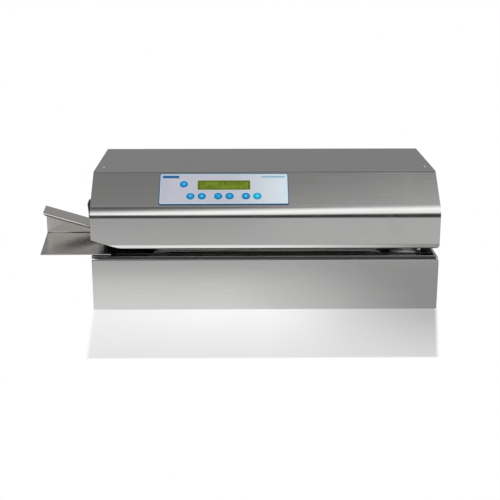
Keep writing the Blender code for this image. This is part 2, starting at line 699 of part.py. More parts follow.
def shafts():
    for name, (x, z), front, rear in (
        ("lower_wheel_shaft", (WHEEL_X, LOWER_WHEEL_Z), WHEEL_Y[0] - 0.002, GEAR_FRONT_Y[1] + 0.002),
        ("lower_belt_shaft", (DRIVE_X, LOWER_BELT_Z), PULLEY_Y[0] - 0.002, GEAR_REAR_Y[1] + 0.002),
        ("upper_belt_shaft", (DRIVE_X, UPPER_BELT_Z), PULLEY_Y[0] - 0.002, GEAR_REAR_Y[1] + 0.002),
    ):
        place(name, disc(SHAFT_R, (front, rear), 24), "plated_steel", (x, 0, z))
        ring = disc(BEARING_R, CHASSIS_Y, 32)
        bearing = place(name.replace("shaft", "bearing"), ring, "plated_steel", (x, 0, z))
        cut(bearing, disc(SHAFT_R + GAP, grown(CHASSIS_Y, THROUGH), 24))
    for name, z in (("lower_idler_axle", LOWER_BELT_Z), ("upper_idler_axle", UPPER_BELT_Z)):
        collar, front, rear = AXLE_R + 0.002, PULLEY_Y[0] - 0.0015, PULLEY_Y[1] + 0.002
        steps = [(collar, front - 0.002, front), (AXLE_R, front, rear), (collar, rear, CARRIER_Y[0] - GAP)]
        place(name, turned(steps, 24), "plated_steel", (IDLER_X, 0, z))


def wheels():
    """The two pressure wheels, grooved for the printed line, and the four pulleys."""
    front, rear = WHEEL_Y
    relief = 0.001
    steps = [(WHEEL_R - relief, front, front + relief), (WHEEL_R, front + relief, GROOVE_Y[0]),
             (WHEEL_R - GROOVE_DEPTH, *GROOVE_Y), (WHEEL_R, GROOVE_Y[1], rear)]
    for name, z, bore in (
        ("lower_pressure_wheel", LOWER_WHEEL_Z, SHAFT_R), ("upper_pressure_wheel", UPPER_WHEEL_Z, AXLE_R),
    ):
        wheel = place(name, turned(steps, 56), "grey_silicone", (WHEEL_X, 0, z))
        cut(wheel, disc(bore + GAP, grown(WHEEL_Y, THROUGH), 24))
        cut(wheel, disc(0.020, (front - THROUGH, front + 0.004), 32))
        join(wheel, hub_ring(0.010, bore + GAP, (front + relief, front + 0.006)))
    for name, x, z in (
        ("lower_drive_pulley", DRIVE_X, LOWER_BELT_Z), ("upper_drive_pulley", DRIVE_X, UPPER_BELT_Z),
        ("lower_idler_pulley", IDLER_X, LOWER_BELT_Z), ("upper_idler_pulley", IDLER_X, UPPER_BELT_Z),
    ):
        bore = SHAFT_R if x == DRIVE_X else AXLE_R
        radius = BELT_OUTER_R - BELT_THICK - GAP
        pulley = place(name, disc(radius, PULLEY_Y, 44), "aluminium", (x, 0, z))
        cut(pulley, disc(bore + GAP, grown(PULLEY_Y, THROUGH), 24))


def stadium(radius, steps=14):
    """The outline round both pulleys at a radius."""
    out = []
    for centre, start in ((DRIVE_X, -math.pi / 2), (IDLER_X, math.pi / 2)):
        out += [polar((centre, 0), radius, start + math.pi * k / steps) for k in range(steps + 1)]
    return out


def belts():
    for name, z in (("lower_belt", LOWER_BELT_Z), ("upper_belt", UPPER_BELT_Z)):
        outer, inner = stadium(BELT_OUTER_R), stadium(BELT_OUTER_R - BELT_THICK)
        section = ((outer, BELT_Y[0]), (outer, BELT_Y[1]), (inner, BELT_Y[1]), (inner, BELT_Y[0]))
        band = loft([along_y(outline, y) for outline, y in section], ring=True)
        place(name, band, "belt_rubber", (0, 0, z))


# ---- Carriers, arm and heaters ------------------------------------------------------------------
def carriers():
    """Both plates that hold the idlers and heaters, with their struts to the chassis plate, the heater
    shelves, the bracket over the pressure arm and the upper stripper finger."""
    strut_x, strut_y = grown(CARRIER_X, -0.001), (CARRIER_Y[0] + 0.001, CHASSIS_Y[0] - GAP)
    shelf_x, shelf_y = grown(HEATER_X, 0.012), (0.0305, CARRIER_Y[0] + 0.001)
    upper = place("upper_carrier", box(CARRIER_X, CARRIER_Y, (0.104, 0.150)), "aluminium")
    join(upper, box(strut_x, strut_y, (0.1465, 0.1495)))
    join(upper, box(shelf_x, shelf_y, HEATER_SHELF))
    join(upper, box((0.170, 0.260), grown(CARRIER_Y, -0.0005), (0.148, 0.178)))
    finger_root = (FINGER_X[0] - 0.002, FINGER_X[1] - 0.003)
    join(upper, box(finger_root, (FINGER_Y[0], CARRIER_Y[0] + 0.001), (0.1580, 0.1610)))
    join(upper, box(FINGER_X, FINGER_Y, (TRANSPORT + 0.0007, 0.1605)))
    join(upper, box((0.241, 0.2595), (0.0490, CARRIER_Y[0] + 0.001), (0.174, 0.177)))
    cut_y = grown(CARRIER_Y, THROUGH)
    cut(upper, disc(SHAFT_R + 0.001, cut_y, 24, (DRIVE_X, UPPER_BELT_Z)))

    lower = place("lower_carrier", box(CARRIER_X, CARRIER_Y, (0.017, 0.0895)), "aluminium")
    join(lower, box(strut_x, strut_y, (0.0175, 0.0205)))
    join(lower, box(shelf_x, shelf_y, (0.062, 0.065)))
    for x, z in shaft_places()[:2]:
        cut(lower, disc(SHAFT_R + 0.001, cut_y, 24, (x, z)))


def capsule(a, b, radius, steps=8):
    """The outline of two equal circles and the straight tangents between them."""
    lean = math.atan2(b[1] - a[1], b[0] - a[0])
    out = [polar(b, radius, lean - math.pi / 2 + math.pi * k / steps) for k in range(steps + 1)]
    return out + [polar(a, radius, lean + math.pi / 2 + math.pi * k / steps) for k in range(steps + 1)]


def pressure_arm():
    axle = (WHEEL_X, UPPER_WHEEL_Z)
    arm = place("pressure_arm", prism(capsule(ARM_PIVOT, axle, 0.009), "Y", *ARM_Y), "plated_steel")
    join(arm, prism(capsule(axle, ARM_PAD, 0.0075), "Y", *grown(ARM_Y, -0.0005)))
    pad_x, pad_z = (ARM_PAD[0] - 0.008, ARM_PAD[0] + 0.008), (ARM_PAD[1] + 0.0035, ARM_PAD[1] + 0.0065)
    join(arm, box(pad_x, (ARM_Y[0] - 0.001, CARRIER_Y[0] - 0.0005), pad_z))
    join(arm, disc(AXLE_R, (0.0115, ARM_Y[0] + 0.001), 24, axle))
    cut(arm, disc(AXLE_R + GAP, grown(ARM_Y, THROUGH), 24, ARM_PIVOT))
    steps = [(AXLE_R + 0.003, 0.0465, 0.0490), (AXLE_R, 0.0490, CARRIER_Y[0] - GAP)]
    place("arm_pivot_pin", turned(steps, 24), "plated_steel", (ARM_PIVOT[0], 0, ARM_PIVOT[1]))


def coil(name, centre, low, high, radius, wire, turns):
    """A compression spring standing along Z."""
    curve = bpy.data.curves.new(name, "CURVE")
    curve.dimensions = "3D"
    curve.bevel_depth = wire / 2
    curve.bevel_resolution = 1
    curve.use_fill_caps = True
    steps = 12
    count = turns * steps + 1
    spline = curve.splines.new("POLY")
    spline.points.add(count - 1)
    rise = (high - low - wire) / (count - 1)
    for i, point in enumerate(spline.points):
        angle = math.tau * i / steps
        point.co = (radius * math.cos(angle), radius * math.sin(angle), wire / 2 + rise * i, 1)
    curve.materials.append(material("plated_steel"))
    made = bpy.data.objects.new(name, curve)
    made.location = (*centre, low)
    made.parent = machine
    bpy.context.scene.collection.objects.link(made)


def springs():
    """The coil over the pressure arm's pad and the wave spring over the upper heater."""
    coil("pressure_spring", (ARM_PAD[0], 0.0542), ARM_PAD[1] + 0.0072, 0.1734, 0.0038, 0.0012, 6)
    thick, steps, waves = 0.0010, 24, 2
    low, high = UPPER_HEATER[1] + 0.0005, HEATER_SHELF[0] - 0.0006 - thick
    start, span = HEATER_X[0] * 0.8, (HEATER_X[1] - HEATER_X[0]) * 0.8
    wave = []
    for share in (k / steps for k in range(steps + 1)):
        rise = 0.5 - 0.5 * math.cos(math.tau * waves * share)
        wave.append((start + span * share, low + (high - low) * rise))
    outline = wave + [(x, z + thick) for x, z in reversed(wave)]
    place("heater_spring", prism(outline, "Y", *grown(HEATER_Y, -0.003)), "plated_steel")


def heater_bar(name, edge, back):
    """A bar whose working edge is bevelled at both ends, so that the pouch runs in. edge faces the pouch."""
    x0, x1 = HEATER_X
    lead = 0.0015 if back > edge else -0.0015
    ease = 0.008
    outline = [(x0, edge + lead), (x0 + ease, edge), (x1 - ease, edge)]
    outline += [(x1, edge + lead), (x1, back), (x0, back)]
    return place(name, prism(outline, "Y", *HEATER_Y), "brass")


def heaters():
    heater_bar("upper_heater", *UPPER_HEATER)
    lower = heater_bar("lower_heater", LOWER_HEATER[1], LOWER_HEATER[0])
    for x in (-0.090, 0.090):
        leg = ((x - 0.006, x + 0.006), grown(HEATER_Y, -0.002), (0.0653, LOWER_HEATER[0] + 0.001))
        join(lower, box(*leg))


# ---- Electrics in the rear compartment ----------------------------------------------------------
def mains_inlet():
    """A flanged inlet with its socket, three pins and the fuse drawer's recess."""
    x, z = INLET_CENTRE
    rear = PANEL_REAR_Y[1] + GAP
    flange = rounded_rectangle(0.050, 0.030, 0.003, steps=3)
    inlet = place("mains_inlet", prism(flange, "Y", rear, DEPTH + PROUD_REAR), "black_plastic", (x, 0, z))
    join(inlet, box((-0.0235, 0.0235), (rear - 0.024, rear + 0.001), (-0.0135, 0.0135)))
    left, right, low, high, chamfer = -0.0205, 0.0035, -0.0082, 0.0082, 0.004
    socket = [(left, low), (right, low), (right, high - chamfer), (right - chamfer, high),
              (left + chamfer, high), (left, high - chamfer)]
    cut(inlet, prism(socket, "Y", rear - 0.016, DEPTH + 0.005))
    for px, pz in ((-0.0085, 0.0035), (-0.0155, -0.0030), (-0.0015, -0.0030)):
        join(inlet, box((px - 0.001, px + 0.001), (rear - 0.017, rear - 0.006), (pz - 0.002, pz + 0.002)))
    cut(inlet, box((0.0075, 0.0215), (DEPTH, DEPTH + 0.005), (-0.0085, 0.0085)))


def fan():
    """A frame with a spoke and a hub behind the rotor, whose seven blades are twisted along the shaft."""
    fan_y = (PANEL_REAR_Y[0] - GAP - 0.015, PANEL_REAR_Y[0] - GAP)
    spot = (FAN_CENTRE[0], 0, FAN_CENTRE[1])
    square = rounded_rectangle(FAN_SIZE, FAN_SIZE, 0.003, steps=2)
    frame = place("fan_frame", prism(square, "Y", *fan_y), "black_plastic", spot)
    cut(frame, disc(0.0280, grown(fan_y, THROUGH), 40))
    join(frame, box((-0.0295, 0.0295), (fan_y[0] + 0.0002, fan_y[0] + 0.0020), (-0.002, 0.002)))
    join(frame, disc(0.008, (fan_y[0] + 0.0001, fan_y[0] + 0.0022), 20))
    count, hub, tip = 7, 0.012, 0.0268
    blade = ((0.0, hub), (0.18, tip), (0.42, tip), (0.60, hub))
    turns = [(i + share, radius) for i in range(count) for share, radius in blade]
    blades = [polar((0, 0), radius, math.tau * turn / count) for turn, radius in turns]
    rotor = prism(blades, "Y", fan_y[0] + 0.0035, fan_y[1] - 0.0010, math.radians(14))
    place("fan_rotor", rotor, "black_plastic", spot)


def electronics():
    supply = place("power_supply", box((-0.160, -0.050), (0.165, 0.240), (0.0066, 0.050)), "plated_steel")
    for i in range(5):
        slot_x = -0.145 + 0.020 * i
        cut(supply, box((slot_x, slot_x + 0.006), (0.180, 0.225), (0.047, 0.052)))
    front, rear = 0.1480, 0.1496
    board = place("control_board", box((-0.120, 0.040), (front, rear), (0.075, 0.175)), "board_green")
    sunk = rear - 0.0006
    for x, z, wide, tall, deep in (
        (-0.095, 0.150, 0.030, 0.014, 0.012),
        (-0.040, 0.120, 0.020, 0.020, 0.004),
        (0.010, 0.095, 0.024, 0.012, 0.010),
    ):
        block = (x - wide / 2, x + wide / 2), (sunk, sunk + deep), (z - tall / 2, z + tall / 2)
        join(board, box(*block))


# ---- The machine --------------------------------------------------------------------------------
clear_scene()
machine = empty("machine", (GUIDE_REACH / 2, -(DEPTH + PROUD_REAR) / 2, 0))
slope_run = math.hypot(SLOPE_DEPTH, HEIGHT - NOSE_HEIGHT)
panel_along = (slope_run - PANEL_TOP - PANEL_SIZE[1] / 2) / slope_run
panel_frame = empty(
    "panel_frame",
    (PANEL_X, SLOPE_DEPTH * panel_along, NOSE_HEIGHT + (HEIGHT - NOSE_HEIGHT) * panel_along),
    machine,
    SLOPE_ANGLE,
)
base_housing()
bottom_plate()
feet()
slide_plate()
top_cover()
side_plates()
rear_panel()
chassis_plate()
infeed_guide()
control_panel()
mains_switch()
gear_motor(gears())
shafts()
wheels()
belts()
carriers()
pressure_arm()
springs()
heaters()
mains_inlet()
fan()
electronics()
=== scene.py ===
"""The finished surfaces, finishes and studio of a rotary heat sealer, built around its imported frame.

Every shape is worked out in the housing's own frame: X from its middle, Y back from its front face and Z up
from the table, in metres. PLACE moves it into the frame's coordinates."""

import json
import math

import bmesh
import bpy
import numpy as np
from bpy.props import FloatProperty, FloatVectorProperty, IntProperty, PointerProperty
from bpy.types import Operator, Panel, PropertyGroup
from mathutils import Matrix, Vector


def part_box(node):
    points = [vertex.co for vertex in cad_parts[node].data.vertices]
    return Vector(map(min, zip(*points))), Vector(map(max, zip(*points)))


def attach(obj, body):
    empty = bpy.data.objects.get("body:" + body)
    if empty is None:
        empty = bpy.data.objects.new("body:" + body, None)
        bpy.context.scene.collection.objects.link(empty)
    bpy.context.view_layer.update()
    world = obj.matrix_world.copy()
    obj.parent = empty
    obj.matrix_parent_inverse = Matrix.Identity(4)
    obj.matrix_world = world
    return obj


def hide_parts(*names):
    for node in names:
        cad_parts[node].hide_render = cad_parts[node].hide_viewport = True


bl_info = {
    "name": "Rotary Heat Sealer",
    "version": (1, 0, 0),
    "blender": (4, 5, 0),
    "location": "View3D > Sidebar > Heat Sealer",
    "description": "Builds the surfaces, finishes and studio of a rotary heat sealer round its frame",
    "category": "Object",
}

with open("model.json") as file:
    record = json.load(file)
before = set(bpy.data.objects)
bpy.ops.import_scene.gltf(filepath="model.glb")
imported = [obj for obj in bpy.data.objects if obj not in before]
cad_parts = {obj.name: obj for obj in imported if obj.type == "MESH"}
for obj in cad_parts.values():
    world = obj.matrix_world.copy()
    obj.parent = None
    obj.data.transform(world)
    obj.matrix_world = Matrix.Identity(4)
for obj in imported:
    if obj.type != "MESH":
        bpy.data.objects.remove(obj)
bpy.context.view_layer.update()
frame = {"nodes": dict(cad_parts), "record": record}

BASE_LOW, BASE_HIGH = (np.array(corner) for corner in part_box("base_housing"))
COVER_LOW, COVER_HIGH = (np.array(corner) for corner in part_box("top_cover"))
PLACE = np.array([(BASE_LOW[0] + BASE_HIGH[0]) / 2, BASE_LOW[1], 0.0])
HALF = (BASE_HIGH[0] - BASE_LOW[0]) / 2
BASE_TOP = BASE_HIGH[2]
BASE_BOTTOM = BASE_LOW[2]
BASE_DEPTH = BASE_HIGH[1] - BASE_LOW[1]
COVER_TOP = COVER_HIGH[2]
COVER_BOTTOM = COVER_LOW[2]
COVER_DEPTH = COVER_HIGH[1] - COVER_LOW[1]

SEWING = 2e-6  # corners nearer than this are one
SHORTEST_STEP = 2e-5  # places along a sheet nearer than this are one
NO_LENGTH = 1e-7
CREASE = 35  # degrees; faces that meet at more than this have a sharp edge
SHEET_EDGE_ANGLE = 55
BELT_OPENING = np.array([[-0.190, 0.012], [0.257, 0.054]])  # in the base's top
PANEL_WINDOW = np.array([0.093, 0.026])  # half the opening behind the control panel
LIP_ZONE = 0.032  # rows up to here follow the cover's lower edge
RAMP_COLUMNS = -0.150  # columns are close together up to here, over the cover's ramp
GUIDE_GAP = 0.0012  # from the housing's side to the guide's wall
GUIDE_CORNER = 0.005  # radius of the guide's floor under the cover
GUIDE_TAPER = 0.003  # how far the turned down lip is cut back at its end
BELT_THICK = 0.0015
BELT_LINE = 0.019  # radius at which a belt's map runs round its pulleys
WHEEL_GROOVE = -0.029  # middle of the groove in a wheel's tread
GROOVE_HALF = 0.0006  # half the groove's width, and its depth
HOLE_GAP = 0.00022  # left round each key
CUT_DEPTH = 0.01  # how far a cutter reaches to either side
KEY_FOOT = 0.0005  # height of a key's underside
KEY_EDGE = 0.0006  # width of the rounding round its top
KEY_CROWN = 0.00028  # how far its middle stands up
SCREW_UNDER = -0.0004  # how far a screw's head is sunk
GUARD_RINGS = (0.009, 0.016, 0.023, 0.0285)
GUARD_REACH = 0.034
GUARD_WIRE = 0.0008
RATING_PLATE = (0.032, 0.019)  # half its width and height
FUSE_DRAWER = (0.0066, 0.0081)


# ---- Settings -------------------------------------------------------------------------------------
def metres(name, description, default):
    return FloatProperty(name=name, description=description, default=default, unit="LENGTH", precision=5)


def angle_of(name, description, default):
    return FloatProperty(name=name, description=description, default=default, unit="ROTATION")


def shade(name, description, default):
    return FloatVectorProperty(
        name=name, description=description, default=default, subtype="COLOR", min=0, max=1
    )


class SealerSheet(PropertyGroup):
    thickness: metres("Sheet", "Thickness of the steel sheet", 0.0015)
    lip_bend: metres("Lip bend", "Outer radius of the cover's bottom bend", 0.011)
    lip_turn: angle_of("Lip turn", "How far the lip curls under", 0.87266)
    lip_flat: metres("Lip flat", "What runs straight on after the lip's bend", 0.0003)
    nose_bend: metres("Nose bend", "Outer radius between the front and the sloped face", 0.0235)
    fold_bend: metres("Fold bend", "Outer radius between the sloped face and the top", 0.008)
    rear_bend: metres("Rear bend", "Outer radius at the back of the top", 0.004)
    rear_flange: metres("Rear flange", "Height of the flange at the back", 0.020)
    nose_height: metres("Nose height", "Where the front and the slope would meet", 0.1645)
    slope_depth: metres("Slope depth", "How far back the slope ends", 0.0645)
    base_bend: metres("Base bend", "Outer radius of the base's rolled top edges", 0.008)
    corner: metres("Corner", "Radius of the cover's lower right corner", 0.0055)
    ramp_rise: metres("Ramp rise", "How high the lower left cut is at the side", 0.0160)
    ramp_reach: metres("Ramp reach", "How far in from the side the cut would meet the lip", 0.0501)
    ramp_bend: metres("Ramp bend", "Radius that eases the cut into the lip", 0.120)
    edge: metres("Edge", "Rounding left on deburred sheet edges", 0.00025)


class SealerGuide(PropertyGroup):
    reach: metres("Reach", "How far the rear wall stands out from the housing", 0.0930)
    front_reach: metres("Front reach", "How far the floor's front corner stands out", 0.0812)
    front: metres("Front", "Where the floor's front edge is, behind the housing's face", 0.006)
    wall: metres("Wall", "Where the rear wall is", 0.137)
    inside: metres("Inside", "How far the floor runs in under the cover", 0.035)
    high: metres("High", "The wall's height at its outer end", 0.0464)
    low: metres("Low", "The wall's height at the housing", 0.0190)
    flange: metres("Flange", "Width of the drooping flange", 0.030)
    droop: metres("Droop", "How far the flange drops to its edge", 0.005)
    lip: metres("Lip", "Depth of the turned down lip", 0.003)
    bend: metres("Bend", "Inner radius of its folds", 0.0022)


class SealerColours(PropertyGroup):
    steel: shade("Steel", "Brushed stainless steel", (0.66, 0.655, 0.645))
    film: shade("Film", "Light field of the printed film", (0.53, 0.53, 0.61))
    film_edge: shade("Film edge", "Pale blue border of the film", (0.48, 0.70, 0.87))
    # Painted shadow round the film's edge, in dark blue
    painted_rim_shadow: shade("Film rim", "Dark line round the film", (0.010, 0.085, 0.24))
    ink: shade("Ink", "Dark blue print", (0.012, 0.12, 0.33))
    pale_ink: shade("Pale ink", "Light blue print", (0.10, 0.38, 0.58))
    key: shade("Keys", "Blue of the keys", (0.006, 0.26, 0.56))
    start_key: shade("Start key", "Lighter blue of the start key", (0.004, 0.44, 0.70))
    key_sign: shade("Key signs", "Signs printed on the keys", (0.50, 0.80, 0.95))
    display: shade("Display", "Field of the display", (0.155, 0.235, 0.010))
    display_edge: shade("Display edge", "Frame of the display", (0.42, 0.50, 0.16))
    display_dots: shade("Display dots", "Dots of the display's characters", (0.055, 0.085, 0.006))
    silicone: shade("Silicone", "Pressure wheels", (0.86, 0.86, 0.84))
    belt: shade("Belt", "Woven belts", (0.72, 0.72, 0.70))


class SealerStage(PropertyGroup):
    camera: FloatVectorProperty(
        name="Camera",
        description="Its place in the housing's frame",
        default=(-0.0420, -1.5843, 0.5643),
        unit="LENGTH",
    )
    pitch: angle_of("Pitch", "How far it looks down", 0.28391)
    turn: angle_of("Turn", "How far it looks to the right", 0.01101)
    lens: FloatProperty(name="Lens", description="Focal length in millimetres", default=75.28, unit="CAMERA")
    floor_size: metres("Floor", "Side of the floor", 9.0)
    segments: IntProperty(name="Segments", description="Segments of round pieces", default=96, min=24)


# ---- Surfaces -------------------------------------------------------------------------------------
def unit(vectors):
    return vectors / np.linalg.norm(vectors, axis=-1, keepdims=True)


def bent_path(corners, radii, steps=14, hold=0.0004):
    """Straight runs joined by arcs. An arc's centre lies on its corner's bisector, its radius over the
    sine of the half angle away; its points turn evenly from one tangent point to the other. A point just
    outside each arc holds the flats flat."""
    corners = np.asarray(corners, float)
    parts = [corners[:1]]
    for before, here, after, radius in zip(corners, corners[1:], corners[2:], radii):
        back, ahead = unit(before - here), unit(after - here)
        half = np.arccos(np.clip(back @ ahead, -1, 1)) / 2
        reach = radius / np.tan(half)
        centre = here + unit(back + ahead) * radius / np.sin(half)
        start, finish = here + back * reach - centre, here + ahead * reach - centre
        sweep = np.pi - 2 * half
        turn = np.linspace(0, sweep, steps + 1)[:, None]
        arc = centre + (np.sin(sweep - turn) * start + np.sin(turn) * finish) / np.sin(sweep)
        parts += [(here + back * (reach + hold))[None], arc, (here + ahead * (reach + hold))[None]]
    return np.concatenate([*parts, corners[-1:]])


def lengths(path):
    """Distance along a path at each of its points: the running sum of its steps."""
    return np.concatenate([[0.0], np.cumsum(np.linalg.norm(np.diff(path, axis=0), axis=1))])


def spaced(start, stop, step, *marks):
    """Even places about a step apart, and every mark between the ends."""
    even = np.linspace(start, stop, max(2, int(round((stop - start) / step)) + 1))
    places = np.unique(np.concatenate([even, [m for m in marks if start < m < stop]]))
    return places[np.concatenate([[True], np.diff(places) > SHORTEST_STEP])]


def patch(points, wrap_rows=False, wrap_columns=False, keep=None):
    """A grid of points as corners and faces: each face joins a point to the next row's, that one's
    neighbour and its own neighbour. A wrapped side joins the last to the first, and keep says which faces
    stay."""
    rows, columns = points.shape[:2]
    r = np.arange(rows if wrap_rows else rows - 1)[:, None]
    c = np.arange(columns if wrap_columns else columns - 1)[None, :]
    below, beside = (r + 1) % rows, (c + 1) % columns
    here, lower = r * columns, below * columns
    faces = np.stack([here + c, lower + c, lower + beside, here + beside], -1)
    faces = faces.reshape(-1, 4) if keep is None else faces[keep]
    return points.reshape(-1, 3), faces


def sewn(name, patches, finish, body="machine", inside=None, replaces=(), smooth=CREASE):
    """Patches joined into one mesh, with shared edges merged. Its faces turn outwards: away from the
    inside point, or by their own enclosure if there is none."""
    starts = np.cumsum([0] + [len(corners) for corners, _ in patches[:-1]])
    corners = np.concatenate([corners for corners, _ in patches]) + PLACE
    faces = np.concatenate([faces + start for (_, faces), start in zip(patches, starts)])
    mesh = bpy.data.meshes.new(name)
    mesh.from_pydata(corners.tolist(), [], faces.tolist())
    bm = bmesh.new()
    bm.from_mesh(mesh)
    bmesh.ops.remove_doubles(bm, verts=bm.verts, dist=SEWING)
    bmesh.ops.dissolve_degenerate(bm, edges=bm.edges, dist=NO_LENGTH)
    loose = [v for v in bm.verts if not v.link_faces]
    bmesh.ops.delete(bm, geom=loose, context="VERTS")
    bmesh.ops.recalc_face_normals(bm, faces=bm.faces)
    if inside is not None:
        middle = inside + PLACE
        centres = np.array([f.calc_center_median() for f in bm.faces])
        normals = np.array([f.normal for f in bm.faces])
        areas = np.array([f.calc_area() for f in bm.faces])
        if (np.sum((centres - middle) * normals, 1) * areas).sum() < 0:
            bmesh.ops.reverse_faces(bm, faces=bm.faces)
    bm.to_mesh(mesh)
    bm.free()
    mesh.shade_smooth()
    mesh.set_sharp_from_angle(angle=math.radians(smooth))
    mesh.materials.append(finish)
    piece = bpy.data.objects.new(name, mesh)
    bpy.context.scene.collection.objects.link(piece)
    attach(piece, body)
    if replaces:
        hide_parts(*replaces)
    return piece


def thicken(piece, thickness, edge):
    """Gives an open sheet its wall, inwards, and rounds the wall's sharp edges a little."""
    wall = piece.modifiers.new("wall", "SOLIDIFY")
    wall.thickness = thickness
    wall.offset = -1
    wall.use_even_offset = True
    rounding = piece.modifiers.new("edges", "BEVEL")
    rounding.width = edge
    rounding.segments = 2
    rounding.limit_method = "ANGLE"
    rounding.angle_limit = math.radians(SHEET_EDGE_ANGLE)
    rounding.harden_normals = True


def carve(piece, cutters):
    """Cuts closed pieces out of another for good, and removes them."""
    for cutter in cutters:
        step = piece.modifiers.new("cut", "BOOLEAN")
        step.operation = "DIFFERENCE"
        step.object = cutter
    bpy.context.view_layer.update()
    graph = bpy.context.evaluated_depsgraph_get()
    cut = bpy.data.meshes.new_from_object(piece.evaluated_get(graph))
    cut.set_sharp_from_angle(angle=math.radians(CREASE))
    piece.modifiers.clear()
    piece.data = cut
    for cutter in cutters:
        bpy.data.objects.remove(cutter, do_unlink=True)


class Axes:
    """A flat piece's own directions: across, up and out of it, from a middle point."""

    def __init__(self, middle, across, up):
        self.middle = np.asarray(middle, float)
        self.turn = np.array([across, up, np.cross(across, up)], float)

    def stand(self, points):
        """Points given across, up and out, stood in the housing's frame."""
        return self.middle + points @ self.turn

    def span(self, node):
        """A CAD node's lowest and highest places across, up and out."""
        mesh = frame["nodes"][node].data
        places = np.empty(len(mesh.vertices) * 3)
        mesh.vertices.foreach_get("co", places)
        own = (places.reshape(-1, 3) - PLACE - self.middle) @ self.turn.T
        return own.min(0), own.max(0)

    def moved(self, across=0.0, up=0.0, out=0.0):
        return Axes(self.stand(np.array([across, up, out])), self.turn[0], self.turn[1])


def rounded_rectangle(half_width, half_height, radius, steps=6):
    """Its outline: each corner's centre, stepped in by the radius, plus the radius turned through a
    quarter."""
    radius = max(radius, 1e-6)
    quarter = np.linspace(0, np.pi / 2, steps + 1)
    turns = (quarter[None, :] + np.arange(4)[:, None] * np.pi / 2).ravel()
    signs = np.repeat([[1, 1], [-1, 1], [-1, -1], [1, -1]], steps + 1, axis=0)
    centres = signs * (np.array([half_width, half_height]) - radius)
    return centres + radius * np.stack([np.cos(turns), np.sin(turns)], -1)


def rimmed(axes, half_width, half_height, corner, profile, steps=6, lift=None):
    """A profile of insets and heights carried round a rounded rectangle: each row is the rectangle drawn
    in by its inset. An inset of half the shorter side closes a cap. lift changes the heights by their
    place."""
    rows = []
    for inset, height in profile:
        ring = rounded_rectangle(half_width - inset, half_height - inset, corner - inset, steps)
        rows.append(np.column_stack([ring, np.full(len(ring), height)]))
    points = np.stack(rows)
    if lift is not None:
        points[..., 2] = lift(points)
    return patch(axes.stand(points), wrap_columns=True)


def turned(axes, profile, segments=96, closed=False):
    """A profile of radii and heights turned round the axes' out direction. A radius of nought closes the
    pole, and a closed profile makes a ring."""
    profile = np.asarray(profile, float)
    angles = np.linspace(0, 2 * np.pi, segments, endpoint=False)
    ring = np.stack([np.cos(angles), np.sin(angles)], -1)
    flat = profile[:, 0][:, None, None] * ring[None]
    heights = np.broadcast_to(profile[:, 1][:, None, None], (*flat.shape[:2], 1))
    return patch(axes.stand(np.concatenate([flat, heights], -1)), wrap_rows=closed, wrap_columns=True)


def facing(middle, way):
    """Axes whose out direction is a signed axis of the frame, such as -Y for a face on the front."""
    across, up = {
        "+X": ((0, 1, 0), (0, 0, 1)),
        "-X": ((0, -1, 0), (0, 0, 1)),
        "+Y": ((-1, 0, 0), (0, 0, 1)),
        "-Y": ((1, 0, 0), (0, 0, 1)),
        "+Z": ((1, 0, 0), (0, 1, 0)),
        "-Z": ((1, 0, 0), (0, -1, 0)),
    }[way]
    return Axes(middle, across, up)


def reach_of(node):
    """A CAD node's lowest and highest corners in the housing's frame."""
    low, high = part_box(node)
    return np.array(low) - PLACE, np.array(high) - PLACE


def middle_of(node):
    low, high = reach_of(node)
    return (low + high) / 2


# ---- Node trees -----------------------------------------------------------------------------------
def put(tree, kind, values=None, **settings):
    """A shader node with its sockets filled: a socket is linked, and anything else becomes its value."""
    node = tree.nodes.new(kind)
    for name, value in settings.items():
        setattr(node, name, value)
    for key, value in (values or {}).items():
        socket = node.inputs[key]
        if isinstance(value, bpy.types.NodeSocket):
            tree.links.new(value, socket)
        else:
            socket.default_value = value
    return node


def maths(tree, operation, *values):
    return put(tree, "ShaderNodeMath", dict(enumerate(values)), operation=operation).outputs[0]


def plus(tree, first, second):
    return maths(tree, "ADD", first, second)


def minus(tree, first, second):
    return maths(tree, "SUBTRACT", first, second)


def times(tree, first, second):
    return maths(tree, "MULTIPLY", first, second)


def vectors(tree, operation, *values, output="Vector"):
    return put(tree, "ShaderNodeVectorMath", dict(enumerate(values)), operation=operation).outputs[output]


def scaled(tree, value, low, high, new_low, new_high, smooth=True):
    """A value eased from one range into another, and held at its ends."""
    kind = "SMOOTHSTEP" if smooth else "LINEAR"
    values = {"Value": value, "From Min": low, "From Max": high, "To Min": new_low, "To Max": new_high}
    return put(tree, "ShaderNodeMapRange", values, interpolation_type=kind).outputs[0]


def between(tree, amount, first, second):
    """A number mixed from one into another by an amount."""
    return put(tree, "ShaderNodeMix", {0: amount, 2: first, 3: second}, data_type="FLOAT").outputs[0]


def split(tree, vector):
    """A vector's three numbers."""
    return put(tree, "ShaderNodeSeparateXYZ", {0: vector}).outputs[:]


def blended(tree, amount, first, second):
    """A colour mixed from one into another by an amount."""
    node = put(tree, "ShaderNodeMix", data_type="RGBA")
    for socket, value in ((0, amount), (6, first), (7, second)):
        if isinstance(value, bpy.types.NodeSocket):
            tree.links.new(value, node.inputs[socket])
        else:
            node.inputs[socket].default_value = value if socket == 0 else (*value, 1)
    return node.outputs[2]


def noise(tree, vector, scale, detail=2.0, roughness=0.5):
    values = {"Vector": vector, "Scale": scale, "Detail": detail, "Roughness": roughness}
    return put(tree, "ShaderNodeTexNoise", values).outputs[0]


